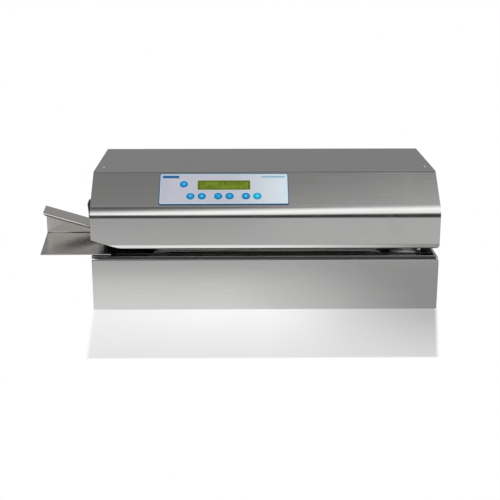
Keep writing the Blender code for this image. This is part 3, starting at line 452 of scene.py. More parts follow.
def group(name, inputs, outputs, build):
    """A node group made once, with float or vector inputs and their defaults."""
    found = bpy.data.node_groups.get(name)
    if found:
        return found
    tree = bpy.data.node_groups.new(name, "ShaderNodeTree")
    for label, default in inputs.items():
        kind = "NodeSocketFloat" if isinstance(default, (int, float)) else "NodeSocketVector"
        socket = tree.interface.new_socket(label, in_out="INPUT", socket_type=kind)
        socket.default_value = default
    for label in outputs:
        tree.interface.new_socket(label, in_out="OUTPUT", socket_type="NodeSocketFloat")
    entry, leave = tree.nodes.new("NodeGroupInput"), tree.nodes.new("NodeGroupOutput")
    for label, socket in build(tree, entry.outputs).items():
        tree.links.new(socket, leave.inputs[label])
    return tree


def use(tree, shared, values):
    node = tree.nodes.new("ShaderNodeGroup")
    node.node_tree = shared
    for key, value in values.items():
        if isinstance(value, bpy.types.NodeSocket):
            tree.links.new(value, node.inputs[key])
        else:
            node.inputs[key].default_value = value
    return node.outputs


def rolled_grain():
    """Fine streaks from the rolling mill: noise that is squeezed across the grain and drawn out along it,
    with a broad cloud under it."""
    def build(tree, given):
        stretched = vectors(tree, "MULTIPLY", given["Vector"], given["Stretch"])
        fine = noise(tree, stretched, 1.0, 4.0, 0.62)
        cloud = noise(tree, given["Vector"], 9.0, 2.0)
        streak = scaled(tree, fine, 0.28, 0.72, 0.0, 1.0, smooth=False)
        return {"Streak": streak, "Cloud": cloud}
    inputs = {"Vector": (0, 0, 0), "Stretch": (14, 1500, 1500)}
    return group("Rolled grain", inputs, ("Streak", "Cloud"), build)


def worn_edges():
    """Where a surface turns sharply: one less the dot of its normal with the same normal rounded off."""
    def build(tree, given):
        rounded = put(tree, "ShaderNodeBevel", {"Radius": given["Width"]}, samples=4).outputs[0]
        straight = put(tree, "ShaderNodeNewGeometry").outputs["Normal"]
        turned_by = minus(tree, 1.0, vectors(tree, "DOT_PRODUCT", rounded, straight, output="Value"))
        broken = noise(tree, given["Vector"], 340.0, 3.0)
        edge = scaled(tree, turned_by, 0.01, 0.16, 0.0, 1.0)
        return {"Edge": times(tree, edge, scaled(tree, broken, 0.35, 0.65, 0.25, 1.0))}
    return group("Worn edges", {"Vector": (0, 0, 0), "Width": 0.0008}, ("Edge",), build)


def handling():
    """Smears and settled dust: two noises of very different size, multiplied and eased."""
    def build(tree, given):
        broad = noise(tree, given["Vector"], 7.0, 3.0, 0.6)
        smear = noise(tree, vectors(tree, "MULTIPLY", given["Vector"], (60, 22, 40)), 1.0, 4.0, 0.65)
        smears = times(tree, scaled(tree, broad, 0.42, 0.68, 0, 1), scaled(tree, smear, 0.4, 0.7, 0, 1))
        dust = noise(tree, given["Vector"], 900.0, 2.0)
        return {"Smears": smears, "Dust": scaled(tree, dust, 0.60, 0.74, 0, 1)}
    return group("Handling", {"Vector": (0, 0, 0)}, ("Smears", "Dust"), build)


def moulded_skin():
    """Spark-eroded texture of a mould: fine noise over coarser noise, as a height."""
    def build(tree, given):
        fine = noise(tree, given["Vector"], given["Scale"], 3.0, 0.6)
        coarse = noise(tree, given["Vector"], times(tree, given["Scale"], 0.3), 1.0)
        return {"Height": plus(tree, times(tree, coarse, 0.4), fine)}
    return group("Moulded skin", {"Vector": (0, 0, 0), "Scale": 1800.0}, ("Height",), build)


def printed_bar():
    """A rounded bar printed on a flat face: the distance to its outline is the length of what lies
    outside its drawn-in corners, less the corner radius, and the mask is full within it."""
    def build(tree, given):
        off = vectors(tree, "ABSOLUTE", vectors(tree, "SUBTRACT", given["Vector"], given["Middle"]))
        flat = vectors(tree, "MULTIPLY", off, (1, 1, 0))
        drawn = vectors(tree, "SUBTRACT", given["Half size"], given["Radius"])
        over = vectors(tree, "SUBTRACT", flat, vectors(tree, "MULTIPLY", drawn, (1, 1, 0)))
        outside = vectors(tree, "LENGTH", vectors(tree, "MAXIMUM", over, (0, 0, 0)), output="Value")
        over_x, over_y, _ = split(tree, over)
        within = maths(tree, "MINIMUM", maths(tree, "MAXIMUM", over_x, over_y), 0.0)
        radius = split(tree, given["Radius"])[0]
        distance = minus(tree, plus(tree, outside, within), radius)
        return {"Mask": scaled(tree, distance, -0.00006, 0.00006, 1.0, 0.0), "Distance": distance}
    inputs = {"Vector": (0, 0, 0), "Middle": (0, 0, 0), "Half size": (0.01, 0.01, 0),
              "Radius": (0.001, 0.001, 0)}
    return group("Printed bar", inputs, ("Mask", "Distance"), build)


def bar_mask(tree, vector, middle, half, radius=0.0):
    """A printed bar's mask, from its middle, half its width and height, and its corner radius."""
    values = {"Vector": vector, "Middle": (*middle, 0), "Half size": (*half, 0),
              "Radius": (radius, radius, 0)}
    return use(tree, printed_bar(), values)["Mask"]


def grained(tree, place, stretch):
    """A rolled grain's streaks and clouds."""
    return use(tree, rolled_grain(), {"Vector": place, "Stretch": stretch})[:]


def worn(tree, place, width):
    return use(tree, worn_edges(), {"Vector": place, "Width": width})["Edge"]


def handled(tree, place):
    """A handled surface's smears and dust."""
    return use(tree, handling(), {"Vector": place})[:]


def skin_of(tree, place, scale):
    return use(tree, moulded_skin(), {"Vector": place, "Scale": scale})["Height"]


def any_of(tree, masks):
    """The highest of several masks."""
    total = masks[0]
    for mask in masks[1:]:
        total = maths(tree, "MAXIMUM", total, mask)
    return total


# ---- Finishes -------------------------------------------------------------------------------------
def blank(name):
    """A new material, its tree, its Principled shader and Object coordinates."""
    made = bpy.data.materials.new(name)
    made.use_nodes = True
    tree = made.node_tree
    shader = tree.nodes["Principled BSDF"]
    return made, tree, shader, put(tree, "ShaderNodeTexCoord").outputs["Object"]


def wire(tree, shader, **sockets):
    """Links or sets the shader's sockets by short names."""
    names = {"colour": "Base Color", "roughness": "Roughness", "metallic": "Metallic", "normal": "Normal",
             "coat": "Coat Weight", "coat_roughness": "Coat Roughness", "specular": "Specular IOR Level",
             "sheen": "Sheen Weight"}
    for key, value in sockets.items():
        socket = shader.inputs[names[key]]
        if isinstance(value, bpy.types.NodeSocket):
            tree.links.new(value, socket)
        else:
            socket.default_value = value


def bump(tree, height, strength, distance=0.0002):
    values = {"Height": height, "Strength": strength, "Distance": distance}
    return put(tree, "ShaderNodeBump", values).outputs[0]


def once(make):
    """Makes each finish the first time it is asked for and hands the same one out after that."""
    made = {}

    def handed(*values):
        if values not in made:
            made[values] = make(*values)
        return made[values]
    return handed


@once
def brushed_steel(grain):
    """Stainless sheet whose grain runs along one direction of the frame."""
    made, tree, shader, place = blank(f"Brushed stainless steel {grain}")
    along, beside = 14, 1500
    stretch = {"X": (along, beside, beside), "Y": (beside, along, beside)}[grain]
    streak, cloud = grained(tree, place, stretch)
    smears, dust = handled(tree, place)
    edge = worn(tree, place, 0.0007)
    steel = np.array(bpy.context.scene.sealer_colours.steel)
    streaked = blended(tree, streak, steel * 0.93, np.minimum(steel * 1.05, 1))
    clouded = blended(tree, scaled(tree, cloud, 0.3, 0.7, 0, 0.35), streaked, steel * (0.95, 0.955, 0.97))
    rubbed = blended(tree, times(tree, edge, 0.5), clouded, (0.80, 0.79, 0.78))
    rough = plus(tree, scaled(tree, streak, 0, 1, 0.115, 0.185), times(tree, smears, 0.07))
    rough = plus(tree, rough, times(tree, dust, 0.03))
    wire(tree, shader, colour=rubbed, roughness=rough, metallic=1.0,
         normal=bump(tree, streak, 0.02, 0.00003))
    return made


@once
def polished_steel():
    """Stainless sheet rubbed smooth by the pouches: faint haze and nearly no grain."""
    made, tree, shader, place = blank("Polished stainless steel")
    cloud = noise(tree, place, 22.0, 3.0)
    smears, dust = handled(tree, place)
    colour = blended(tree, scaled(tree, cloud, 0.3, 0.7, 0, 1), (0.57, 0.555, 0.535), (0.62, 0.605, 0.585))
    rough = plus(tree, scaled(tree, cloud, 0.3, 0.7, 0.20, 0.24), times(tree, smears, 0.05))
    rough = plus(tree, rough, times(tree, dust, 0.01))
    wire(tree, shader, colour=colour, roughness=rough, metallic=1.0)
    return made


@once
def plated_steel():
    made, tree, shader, place = blank("Zinc plated steel")
    smears, dust = handled(tree, place)
    edge = worn(tree, place, 0.0005)
    spangle = noise(tree, place, 260.0, 3.0)
    colour = blended(tree, scaled(tree, spangle, 0.35, 0.65, 0, 1), (0.56, 0.57, 0.58), (0.68, 0.68, 0.67))
    colour = blended(tree, times(tree, smears, 0.35), colour, (0.50, 0.47, 0.40))
    colour = blended(tree, times(tree, edge, 0.4), colour, (0.80, 0.80, 0.79))
    rough = plus(tree, scaled(tree, spangle, 0.3, 0.7, 0.24, 0.36), times(tree, dust, 0.1))
    wire(tree, shader, colour=colour, roughness=rough, metallic=1.0,
         normal=bump(tree, spangle, 0.06, 0.0001))
    return made


@once
def coated_steel():
    """Black stove enamel, worn back to the metal on its edges."""
    made, tree, shader, place = blank("Black coated steel")
    smears, dust = handled(tree, place)
    edge = worn(tree, place, 0.0006)
    skin = skin_of(tree, place, 1100.0)
    bare = scaled(tree, edge, 0.72, 0.95, 0, 1)
    colour = blended(tree, times(tree, smears, 0.5), (0.012, 0.012, 0.013), (0.035, 0.034, 0.032))
    colour = blended(tree, times(tree, dust, 0.25), colour, (0.14, 0.13, 0.12))
    colour = blended(tree, bare, colour, (0.45, 0.45, 0.44))
    wire(tree, shader, colour=colour, roughness=scaled(tree, smears, 0, 1, 0.42, 0.55), metallic=bare,
         normal=bump(tree, skin, 0.15, 0.0001))
    return made


@once
def milled_aluminium():
    made, tree, shader, place = blank("Milled aluminium")
    streak, cloud = grained(tree, place, (90, 1800, 700))
    edge = worn(tree, place, 0.0005)
    colour = blended(tree, streak, (0.60, 0.61, 0.62), (0.74, 0.745, 0.75))
    colour = blended(tree, times(tree, edge, 0.5), colour, (0.86, 0.86, 0.86))
    rough = plus(tree, scaled(tree, streak, 0, 1, 0.26, 0.38), scaled(tree, cloud, 0.3, 0.7, 0, 0.08))
    wire(tree, shader, colour=colour, roughness=rough, metallic=1.0,
         normal=bump(tree, streak, 0.08, 0.00005))
    return made


@once
def machined_brass():
    made, tree, shader, place = blank("Machined brass")
    streak, cloud = grained(tree, place, (60, 1600, 1600))
    edge = worn(tree, place, 0.0005)
    colour = blended(tree, scaled(tree, cloud, 0.35, 0.65, 0, 1), (0.60, 0.43, 0.17), (0.76, 0.60, 0.30))
    colour = blended(tree, times(tree, edge, 0.6), colour, (0.90, 0.76, 0.44))
    wire(tree, shader, colour=colour, roughness=scaled(tree, streak, 0, 1, 0.24, 0.40), metallic=1.0,
         normal=bump(tree, streak, 0.08, 0.00005))
    return made


@once
def cast_silicone():
    """Heat-proof rubber of the pressure wheels, ground round, with rubbed-in dust."""
    made, tree, shader, place = blank("Grey silicone")
    smears, dust = handled(tree, place)
    ground = noise(tree, vectors(tree, "MULTIPLY", place, (300, 2400, 300)), 1.0, 3.0)
    silicone = np.array(bpy.context.scene.sealer_colours.silicone)
    colour = blended(tree, smears, silicone, silicone * 0.72)
    colour = blended(tree, times(tree, dust, 0.4), colour, silicone * 1.12)
    wire(tree, shader, colour=colour, roughness=scaled(tree, ground, 0.3, 0.7, 0.52, 0.70), specular=0.4,
         normal=bump(tree, ground, 0.25, 0.0001))
    return made


@once
def woven_belt():
    """Coated glass cloth: two crossed waves from the piece's own map, along and across the belt."""
    made, tree, shader, _ = blank("Woven belt")
    along = put(tree, "ShaderNodeUVMap", uv_map="belt").outputs[0]
    length, width, _ = split(tree, along)
    turns = 2 * math.pi / 0.0009
    warp = maths(tree, "SINE", times(tree, length, turns))
    weft = maths(tree, "SINE", times(tree, width, turns))
    weave = times(tree, warp, weft)
    belt = np.array(bpy.context.scene.sealer_colours.belt)
    marks = noise(tree, vectors(tree, "MULTIPLY", along, (18, 420, 0)), 1.0, 3.0)
    soiled = scaled(tree, marks, 0.4, 0.65, 0, 0.7)
    colour = blended(tree, scaled(tree, weave, -1, 1, 0, 1), belt * 0.78, belt * 1.1)
    colour = blended(tree, soiled, colour, belt * (0.55, 0.50, 0.42))
    wire(tree, shader, colour=colour, roughness=scaled(tree, weave, -1, 1, 0.50, 0.36), sheen=0.1,
         metallic=0.45, normal=bump(tree, weave, 0.3, 0.00015))
    return made


def plastic(name, colour, roughness, scale, strength, wear):
    """A moulded plastic or rubber: grained skin, rubbed edges and a little dust."""
    made, tree, shader, place = blank(name)
    colour = np.array(colour)
    smears, dust = handled(tree, place)
    edge = worn(tree, place, 0.0006)
    skin = skin_of(tree, place, scale)
    rubbed = blended(tree, times(tree, edge, wear), colour, colour * 0.5 + 0.28)
    dusted = blended(tree, times(tree, dust, 0.16), rubbed, colour * 0.5 + 0.20)
    shined = scaled(tree, smears, 0, 1, roughness, max(roughness - 0.12, 0.08))
    wire(tree, shader, colour=dusted, roughness=shined, normal=bump(tree, skin, strength, 0.0001))
    return made


@once
def black_plastic():
    return plastic("Black moulded plastic", (0.012, 0.012, 0.013), 0.38, 1500.0, 0.20, 0.25)


@once
def acetal():
    return plastic("Natural acetal", (0.74, 0.73, 0.69), 0.42, 900.0, 0.10, 0.3)


@once
def black_rubber():
    return plastic("Black rubber", (0.018, 0.018, 0.018), 0.72, 700.0, 0.35, 0.2)


@once
def circuit_board():
    """Green solder mask with the copper tracks raised under it."""
    made, tree, shader, place = blank("Circuit board")
    cells = put(tree, "ShaderNodeTexVoronoi", {"Vector": place, "Scale": 260.0}, distance="CHEBYCHEV")
    track = scaled(tree, cells.outputs["Distance"], 0.28, 0.34, 1.0, 0.0)
    colour = blended(tree, track, (0.010, 0.075, 0.028), (0.022, 0.17, 0.06))
    wire(tree, shader, colour=colour, roughness=scaled(tree, track, 0, 1, 0.42, 0.30), coat=0.3,
         normal=bump(tree, track, 0.3, 0.0001))
    return made


def flat_coordinates(tree, place, axes):
    """Object coordinates turned and centred so that X runs across a flat piece and Y up it."""
    angle = math.atan2(axes.turn[1][2], axes.turn[1][1])
    location = tuple(axes.middle + PLACE)
    values = {"Vector": place, "Location": location, "Rotation": (angle, 0, 0), "Scale": (1, 1, 1)}
    return put(tree, "ShaderNodeMapping", values, vector_type="TEXTURE").outputs[0]


def printed_film(axes, width, height, holes, window):
    """The keypad's film: pale field that grows lighter from its middle to its right edge, pale blue border,
    a dark blue rim painted as the shadow round its edge, plain bars and a light ring round each key."""
    made, tree, shader, place = blank("Printed film")
    colours = bpy.context.scene.sealer_colours
    spot = flat_coordinates(tree, place, axes)
    half = np.array([width, height]) / 2
    across = split(tree, spot)[0]
    field = blended(tree, scaled(tree, across, 0.0, half[0], 0, 1), colours.film,
                    np.minimum(np.array(colours.film) * (1.28, 1.42, 1.33), 1))
    border = bar_mask(tree, spot, (0, 0), half - 0.0024, 0.0018)
    colour = blended(tree, border, colours.film_edge, field)
    title = bar_mask(tree, spot, (-half[0] + 0.0180, half[1] - 0.0072), (0.0130, 0.0026), 0.0004)
    colour = blended(tree, title, colour, colours.ink)
    label = bar_mask(tree, spot, (half[0] - 0.0240, half[1] - 0.0072), (0.0190, 0.0016), 0.0004)
    colour = blended(tree, times(tree, label, 0.75), colour, colours.pale_ink)
    rings = [bar_mask(tree, spot, (x, y), (radius + 0.0011, radius + 0.0011), radius + 0.0011)
             for x, y, radius in holes]
    colour = blended(tree, any_of(tree, rings), colour, (0.52, 0.70, 0.86))
    low, high = window
    framed = bar_mask(tree, spot, (low + high) / 2, (high - low) / 2 + 0.0009, 0.0008)
    colour = blended(tree, framed, colour, colours.display_edge)
    # The outer band is painted dark blue as the shadow at the film's edge
    rim = bar_mask(tree, spot, (0, 0), half - 0.0012, 0.0022)
    colour = blended(tree, rim, colours.painted_rim_shadow, colour)
    smears = handled(tree, place)[0]
    skin = skin_of(tree, place, 2200.0)
    wire(tree, shader, colour=colour, roughness=scaled(tree, smears, 0, 1, 0.42, 0.30), specular=0.4,
         normal=bump(tree, skin, 0.06, 0.00005))
    return made


def triangle_mask(tree, spot, size, way):
    """A triangle that points along a direction: inside its base line and between its two slanted sides."""
    x, y, _ = split(tree, spot)
    along = {"right": x, "left": times(tree, x, -1.0), "up": y,
             "down": times(tree, y, -1.0)}[way]
    beside = maths(tree, "ABSOLUTE", y if way in ("right", "left") else x)
    tip = minus(tree, minus(tree, size, along), times(tree, beside, 1.5))
    foot = plus(tree, along, size * 0.7)
    return scaled(tree, maths(tree, "MINIMUM", tip, foot), -0.00006, 0.00006, 0, 1)


def key_sign(tree, spot, kind):
    """The plain sign on a key, as a mask."""
    size = 0.0021
    if kind in ("left", "right", "up", "down"):
        return triangle_mask(tree, spot, size, kind)
    if kind == "minus":
        return bar_mask(tree, spot, (0, 0), (size, 0.0004))
    if kind == "plus":
        arms = ((size, 0.0004), (0.0004, size))
        return any_of(tree, [bar_mask(tree, spot, (0, 0), arm) for arm in arms])
    if kind == "square":
        return bar_mask(tree, spot, (0, 0), (size * 0.8, size * 0.8), 0.0002)
    ring = bar_mask(tree, spot, (0, 0), (size, size), size)
    hole = bar_mask(tree, spot, (0, 0), (size * 0.65, size * 0.65), size * 0.65)
    return minus(tree, ring, hole)


def key_blue(name, axes, colour, kind):
    """A domed key: blue under clear film, a little darker towards its edge, with one plain sign."""
    made, tree, shader, place = blank(name)
    colours = bpy.context.scene.sealer_colours
    spot = flat_coordinates(tree, place, axes)
    away = vectors(tree, "LENGTH", vectors(tree, "MULTIPLY", spot, (1, 1, 0)), output="Value")
    colour = np.array(colour)
    field = blended(tree, scaled(tree, away, 0.0030, 0.0064, 0, 1), colour * 1.15, colour * 0.72)
    signed = blended(tree, times(tree, key_sign(tree, spot, kind), 0.5), field, colours.key_sign)
    smears = handled(tree, place)[0]
    skin = skin_of(tree, place, 2200.0)
    wire(tree, shader, colour=signed, roughness=scaled(tree, smears, 0, 1, 0.34, 0.24), specular=0.25,
         normal=bump(tree, skin, 0.05, 0.00005))
    return made


def display_glass(axes, width, height):
    """A two-line character display: cells of five by eight dots, lit where a random value for the dot is
    high."""
    made, tree, shader, place = blank("Character display")
    colours = bpy.context.scene.sealer_colours
    spot = flat_coordinates(tree, place, axes)
    cell = np.array([width * 0.88 / 20, height * 0.74 / 2])
    grid = vectors(tree, "DIVIDE", spot, (*cell, 1.0))
    inner = vectors(tree, "FRACTION", vectors(tree, "ADD", grid, (10.0, 1.0, 0.0)))
    dots = vectors(tree, "MULTIPLY", vectors(tree, "ADD", grid, (10.0, 1.0, 0.0)), (6.0, 9.0, 0.0))
    number = put(tree, "ShaderNodeTexWhiteNoise", {"Vector": vectors(tree, "FLOOR", dots)}).outputs[0]
    letter = put(tree, "ShaderNodeTexWhiteNoise", {"Vector": vectors(tree, "FLOOR", grid)}).outputs[0]
    lit = times(tree, maths(tree, "GREATER_THAN", number, 0.52), maths(tree, "GREATER_THAN", letter, 0.30))
    gap = bar_mask(tree, vectors(tree, "SUBTRACT", inner, (0.5, 0.5, 0.0)), (0, 0), (0.40, 0.42))
    field = bar_mask(tree, spot, (0, 0), cell * (10, 1))
    lit = times(tree, times(tree, lit, gap), field)
    shaded = noise(tree, spot, 45.0, 1.0)
    base = np.array(colours.display)
    ground = blended(tree, scaled(tree, shaded, 0.35, 0.65, 0, 1), base * 0.9, base * 1.12)
    edge = bar_mask(tree, spot, (0, 0), (width / 2 - 0.0026, height / 2 - 0.0022), 0.0006)
    ground = blended(tree, edge, base * 0.55, ground)
    wire(tree, shader, colour=blended(tree, times(tree, lit, 0.75), ground, colours.display_dots),
         roughness=scaled(tree, shaded, 0.3, 0.7, 0.10, 0.16), coat=0.2, coat_roughness=0.05)
    return made


# ---- The housing's pieces -------------------------------------------------------------------------
def panel_axes():
    """Across the control panel, up its slope and out of it, from the middle of its underside."""
    sheet = bpy.context.scene.sealer_sheet
    slope = math.atan2(COVER_TOP - sheet.nose_height, sheet.slope_depth)
    flat = Axes(middle_of("panel_plate"), (1, 0, 0), (0, math.cos(slope), math.sin(slope)))
    return flat.moved(out=flat.span("panel_plate")[0][2])


class SEALER_OT_base(Operator):
    """Builds the base housing: front and top in one rolled sheet, its sides and the opening in its top"""

    bl_idname = "sealer.base"
    bl_label = "Base Housing"

    def execute(self, context):
        sheet = context.scene.sealer_sheet
        bend = sheet.base_bend
        opening_low, opening_high = BELT_OPENING
        rear = reach_of("chassis_plate")[0][1] - 0.001
        rear_end = reach_of("rear_panel")[0][1] - 0.0003
        section = bent_path([(0, BASE_BOTTOM), (0, BASE_TOP), (BASE_DEPTH, BASE_TOP)], [bend])
        run = lengths(section)
        to_top = run[-1] - BASE_DEPTH
        marks = [to_top + y for y in (opening_low[1], opening_high[1], rear, rear_end)]
        along = spaced(0, run[-1], 0.012, *run, *marks)
        ys, zs = (np.interp(along, run, section[:, i]) for i in (0, 1))
        roll = HALF - bend + bend * np.sin(np.linspace(0, np.pi / 2, 12))
        xs = np.concatenate([spaced(-HALF, HALF - bend, 0.012, opening_low[0], opening_high[0])[:-1], roll])
        drop = bend - np.sqrt(np.maximum(bend**2 - np.maximum(xs - HALF + bend, 0) ** 2, 0))
        rising = np.clip((zs - BASE_BOTTOM) / (BASE_TOP - bend - BASE_BOTTOM), 0, 1)
        heights = zs[None] - drop[:, None] * rising[None]
        points = np.stack(np.broadcast_arrays(xs[:, None], ys[None], heights), -1)
        centre = (points[1:, 1:] + points[:-1, :-1]) / 2
        in_slot = (np.abs(centre[..., 0] - (opening_low[0] + opening_high[0]) / 2)
                   < (opening_high[0] - opening_low[0]) / 2)
        in_slot &= (centre[..., 1] > opening_low[1]) & (centre[..., 1] < opening_high[1])
        behind = (centre[..., 1] > rear) & (centre[..., 0] < HALF - bend)
        behind |= centre[..., 1] > rear_end
        patches = [patch(points, keep=~(in_slot | behind))]
        upper = along >= run[np.argmax(section[:, 0] > 1e-9) - 1] - 1e-9
        first = np.argmax(upper)
        rise = ((zs[: first + 1] - BASE_BOTTOM) / (zs[first] - BASE_BOTTOM))[:, None]
        for x, fall in ((-HALF, 0.0), (HALF, bend)):
            outline = zs[upper] - fall
            heights = BASE_BOTTOM + (outline[None] - BASE_BOTTOM) * rise
            side = np.stack(np.broadcast_arrays(x, ys[upper][None], heights), -1)
            patches.append(patch(side))
        base = sewn("base_shell", patches, brushed_steel("X"),
                    inside=np.array([0, BASE_DEPTH / 2, 0.03]), replaces=["base_housing"])
        thicken(base, sheet.thickness, sheet.edge)
        return {"FINISHED"}


def cover_section(sheet):
    """The cover's outer face in side view, from the lip over the nose, slope and top to the rear
    flange."""
    lip = sheet.lip_bend * math.tan(sheet.lip_turn / 2) + sheet.lip_flat
    corners = [(lip * math.sin(sheet.lip_turn), COVER_BOTTOM),
               (0, COVER_BOTTOM + lip * math.cos(sheet.lip_turn)),
               (0, sheet.nose_height), (sheet.slope_depth, COVER_TOP), (COVER_DEPTH, COVER_TOP),
               (COVER_DEPTH, COVER_TOP - sheet.rear_flange)]
    bends = [sheet.lip_bend, sheet.nose_bend, sheet.fold_bend, sheet.rear_bend]
    return bent_path(corners, bends, hold=0.0002)


def lower_edge(xs, sheet):
    """The height of the cover's lower edge: a straight ramp at the left that an arc eases into the lip,
    and a quarter circle at the right corner."""
    slope = math.atan2(sheet.ramp_rise, sheet.ramp_reach)
    eased_end = -HALF + sheet.ramp_reach + sheet.ramp_bend * math.tan(slope / 2)
    lean = np.clip((eased_end - xs) / sheet.ramp_bend, 0, math.sin(slope))
    arc = sheet.ramp_bend * (1 - np.sqrt(1 - lean**2))
    beyond = np.maximum(eased_end - sheet.ramp_bend * math.sin(slope) - xs, 0) * math.tan(slope)
    into = np.clip(xs - HALF + sheet.corner, 0, sheet.corner)
    corner = sheet.corner - np.sqrt(sheet.corner**2 - into**2)
    return COVER_BOTTOM + arc + beyond + corner


class SEALER_OT_cover(Operator):
    """Builds the top cover as one folded sheet, with its shaped lower edge and the panel's window"""

    bl_idname = "sealer.cover"
    bl_label = "Top Cover"

    def execute(self, context):
        sheet = context.scene.sealer_sheet
        section = cover_section(sheet)
        run = lengths(section)
        axes = panel_axes()
        off_middle = np.abs(section[:, 0] - axes.middle[1]) + (section[:, 1] < sheet.nose_height)
        slope_run = run[np.argmin(off_middle)]
        slope_run += (axes.middle[1] - np.interp(slope_run, run, section[:, 0])) / axes.turn[1][1]
        window_xs = axes.middle[0] + PANEL_WINDOW[0] * np.array([-1, 1])
        window_runs = slope_run + PANEL_WINDOW[1] * np.array([-1, 1])
        rising = slice(len(run) // 3)
        fixed = np.interp(COVER_BOTTOM + LIP_ZONE, section[rising, 1], run[rising])
        along = spaced(0, run[-1], 0.010, *run, *window_runs, fixed)
        corner_xs = HALF - sheet.corner + sheet.corner * np.sin(np.linspace(0, np.pi / 2, 12))
        ramp_xs = spaced(-HALF, RAMP_COLUMNS, 0.0025)[:-1]
        plain_xs = spaced(RAMP_COLUMNS, HALF - sheet.corner, 0.010, *window_xs)[:-1]
        xs = np.concatenate([ramp_xs, plain_xs, corner_xs])
        heights = lower_edge(xs, sheet)
        front = np.arange(len(section)) <= np.argmax(section[:, 1] > sheet.nose_height - sheet.nose_bend)
        starts = np.interp(heights, section[front, 1], run[front])
        starts = np.where(heights > COVER_BOTTOM + 1e-6, starts, 0)
        share_up = np.clip(along / fixed, 0, 1)[None]
        squeezed = starts[:, None] + (fixed - starts[:, None]) * share_up
        runs = np.where(along[None] < fixed, squeezed, along[None])
        ys, zs = (np.interp(runs, run, section[:, i]) for i in (0, 1))
        points = np.stack([np.broadcast_to(xs[:, None], ys.shape), ys, zs], -1)
        mid_x, mid_run = (xs[1:] + xs[:-1]) / 2, (along[1:] + along[:-1]) / 2
        across = (mid_x > window_xs[0]) & (mid_x < window_xs[1])
        up = (mid_run > window_runs[0]) & (mid_run < window_runs[1])
        cover = sewn("cover_shell", [patch(points, keep=~(across[:, None] & up[None]))], brushed_steel("X"),
                     inside=np.array([0, 0.13, 0.15]), replaces=["top_cover"])
        thicken(cover, sheet.thickness, sheet.edge)
        return {"FINISHED"}


class SEALER_OT_guide(Operator):
    """Builds the infeed guide: floor, rear wall, drooping flange and lip as one folded sheet"""

    bl_idname = "sealer.guide"
    bl_label = "Infeed Guide"

    def execute(self, context):
        guide = context.scene.sealer_guide
        sheet = context.scene.sealer_sheet
        floor = reach_of("infeed_guide")[0][2] + sheet.thickness
        nose = guide.wall - guide.flange
        high = floor + guide.high
        corners = [(guide.front, floor), (guide.wall, floor), (guide.wall, high), (nose, high - guide.droop),
                   (nose - 0.0003, high - guide.droop - guide.lip)]
        section = bent_path(corners, [guide.bend, 0.0016, 0.0012], steps=8, hold=0.0003)
        run = lengths(section)
        along = spaced(0, run[-1], 0.008, *run)
        ys, zs = (np.interp(along, run, section[:, i]) for i in (0, 1))
        first_fold = guide.wall - guide.front
        raised = np.clip((along - first_fold) / (guide.high - 0.004), 0, 1)
        deep = np.clip((ys - guide.front) / (guide.wall - guide.front), 0, 1)
        on_floor = along < first_fold
        slanted = guide.front_reach + (guide.reach - guide.front_reach) * deep
        outer = -HALF - np.where(on_floor, slanted, guide.reach)
        outer = outer + np.clip((along - run[-1] + guide.lip) / guide.lip, 0, 1) * GUIDE_TAPER
        stop = -HALF - GUIDE_GAP
        t = np.linspace(0, 1, 26)[:, None]
        xs = outer[None] + (stop - outer[None]) * t
        fall = (guide.high - guide.low) * (xs + HALF + guide.reach) / (guide.reach - GUIDE_GAP)
        heights = zs[None] - raised[None] * fall
        wall = np.stack([xs, np.broadcast_to(ys, xs.shape), heights], -1)
        flat = ys[on_floor]
        inner_end = -HALF + guide.inside
        into = np.clip(guide.front + GUIDE_CORNER - flat, 0, GUIDE_CORNER)
        ends = inner_end - GUIDE_CORNER + np.sqrt(GUIDE_CORNER**2 - into**2)
        u = np.linspace(0, 1, 12)[:, None]
        inner_xs = stop + (ends[None] - stop) * u
        inner = np.stack(np.broadcast_arrays(inner_xs, flat[None], zs[on_floor][None]), -1)
        piece = sewn("guide_shell", [patch(wall), patch(inner)], polished_steel(),
                     inside=np.array([-HALF - 0.04, 0.20, -0.10]), replaces=["infeed_guide"])
        thicken(piece, sheet.thickness, sheet.edge)
        return {"FINISHED"}


# ---- Control panel --------------------------------------------------------------------------------
KEYS = {
    "key_mode": "ring",
    "key_menu_down": "down",
    "key_menu_up": "up",
    "key_value_down": "minus",
    "key_value_up": "plus",
    "key_stop": "square",
    "key_start": "right",
}


def key_middle(axes, node):
    low, high = axes.span(node)
    return (low[:2] + high[:2]) / 2, (high[0] - low[0]) / 2, high[2]


class SEALER_OT_panel(Operator):
    """Builds the control panel's plate with its printed film, cut out for the keys and the display"""

    bl_idname = "sealer.panel"
    bl_label = "Control Panel"

    def execute(self, context):
        axes = panel_axes()
        low, high = axes.span("panel_plate")
        half, top = (high - low)[:2] / 2, high[2]
        keys = [(*key_middle(axes, node)[0], key_middle(axes, node)[1]) for node in KEYS]
        window = [corner[:2] for corner in axes.span("display_window")]
        film = printed_film(axes, *(half * 2), keys, window)
        profile = [(half[1], 0), (0, 0), (0, top - 0.0003), (0.0001, top - 0.0001), (0.0003, top),
                   (half[1], top)]
        plate = sewn("panel_film", [rimmed(axes, *half, 0.003, profile, steps=8)], film,
                     replaces=["panel_plate"])
        cutters = []
        for x, y, radius in keys:
            wide = radius + HOLE_GAP
            bore = [(0, -CUT_DEPTH), (wide, -CUT_DEPTH), (wide, CUT_DEPTH), (0, CUT_DEPTH)]
            hole = turned(axes.moved(x, y), bore)
            cutters.append(sewn(f"hole_{len(cutters)}", [hole], film))
        middle, size = (window[0] + window[1]) / 2, (window[1] - window[0]) / 2
        bore = [(size[1], -CUT_DEPTH), (0, -CUT_DEPTH), (0, CUT_DEPTH), (size[1], CUT_DEPTH)]
        hole = rimmed(axes.moved(*middle), *(size + 0.0002), 0.0006, bore)
        cutters.append(sewn("hole_display", [hole], film))
        carve(plate, cutters)
        return {"FINISHED"}


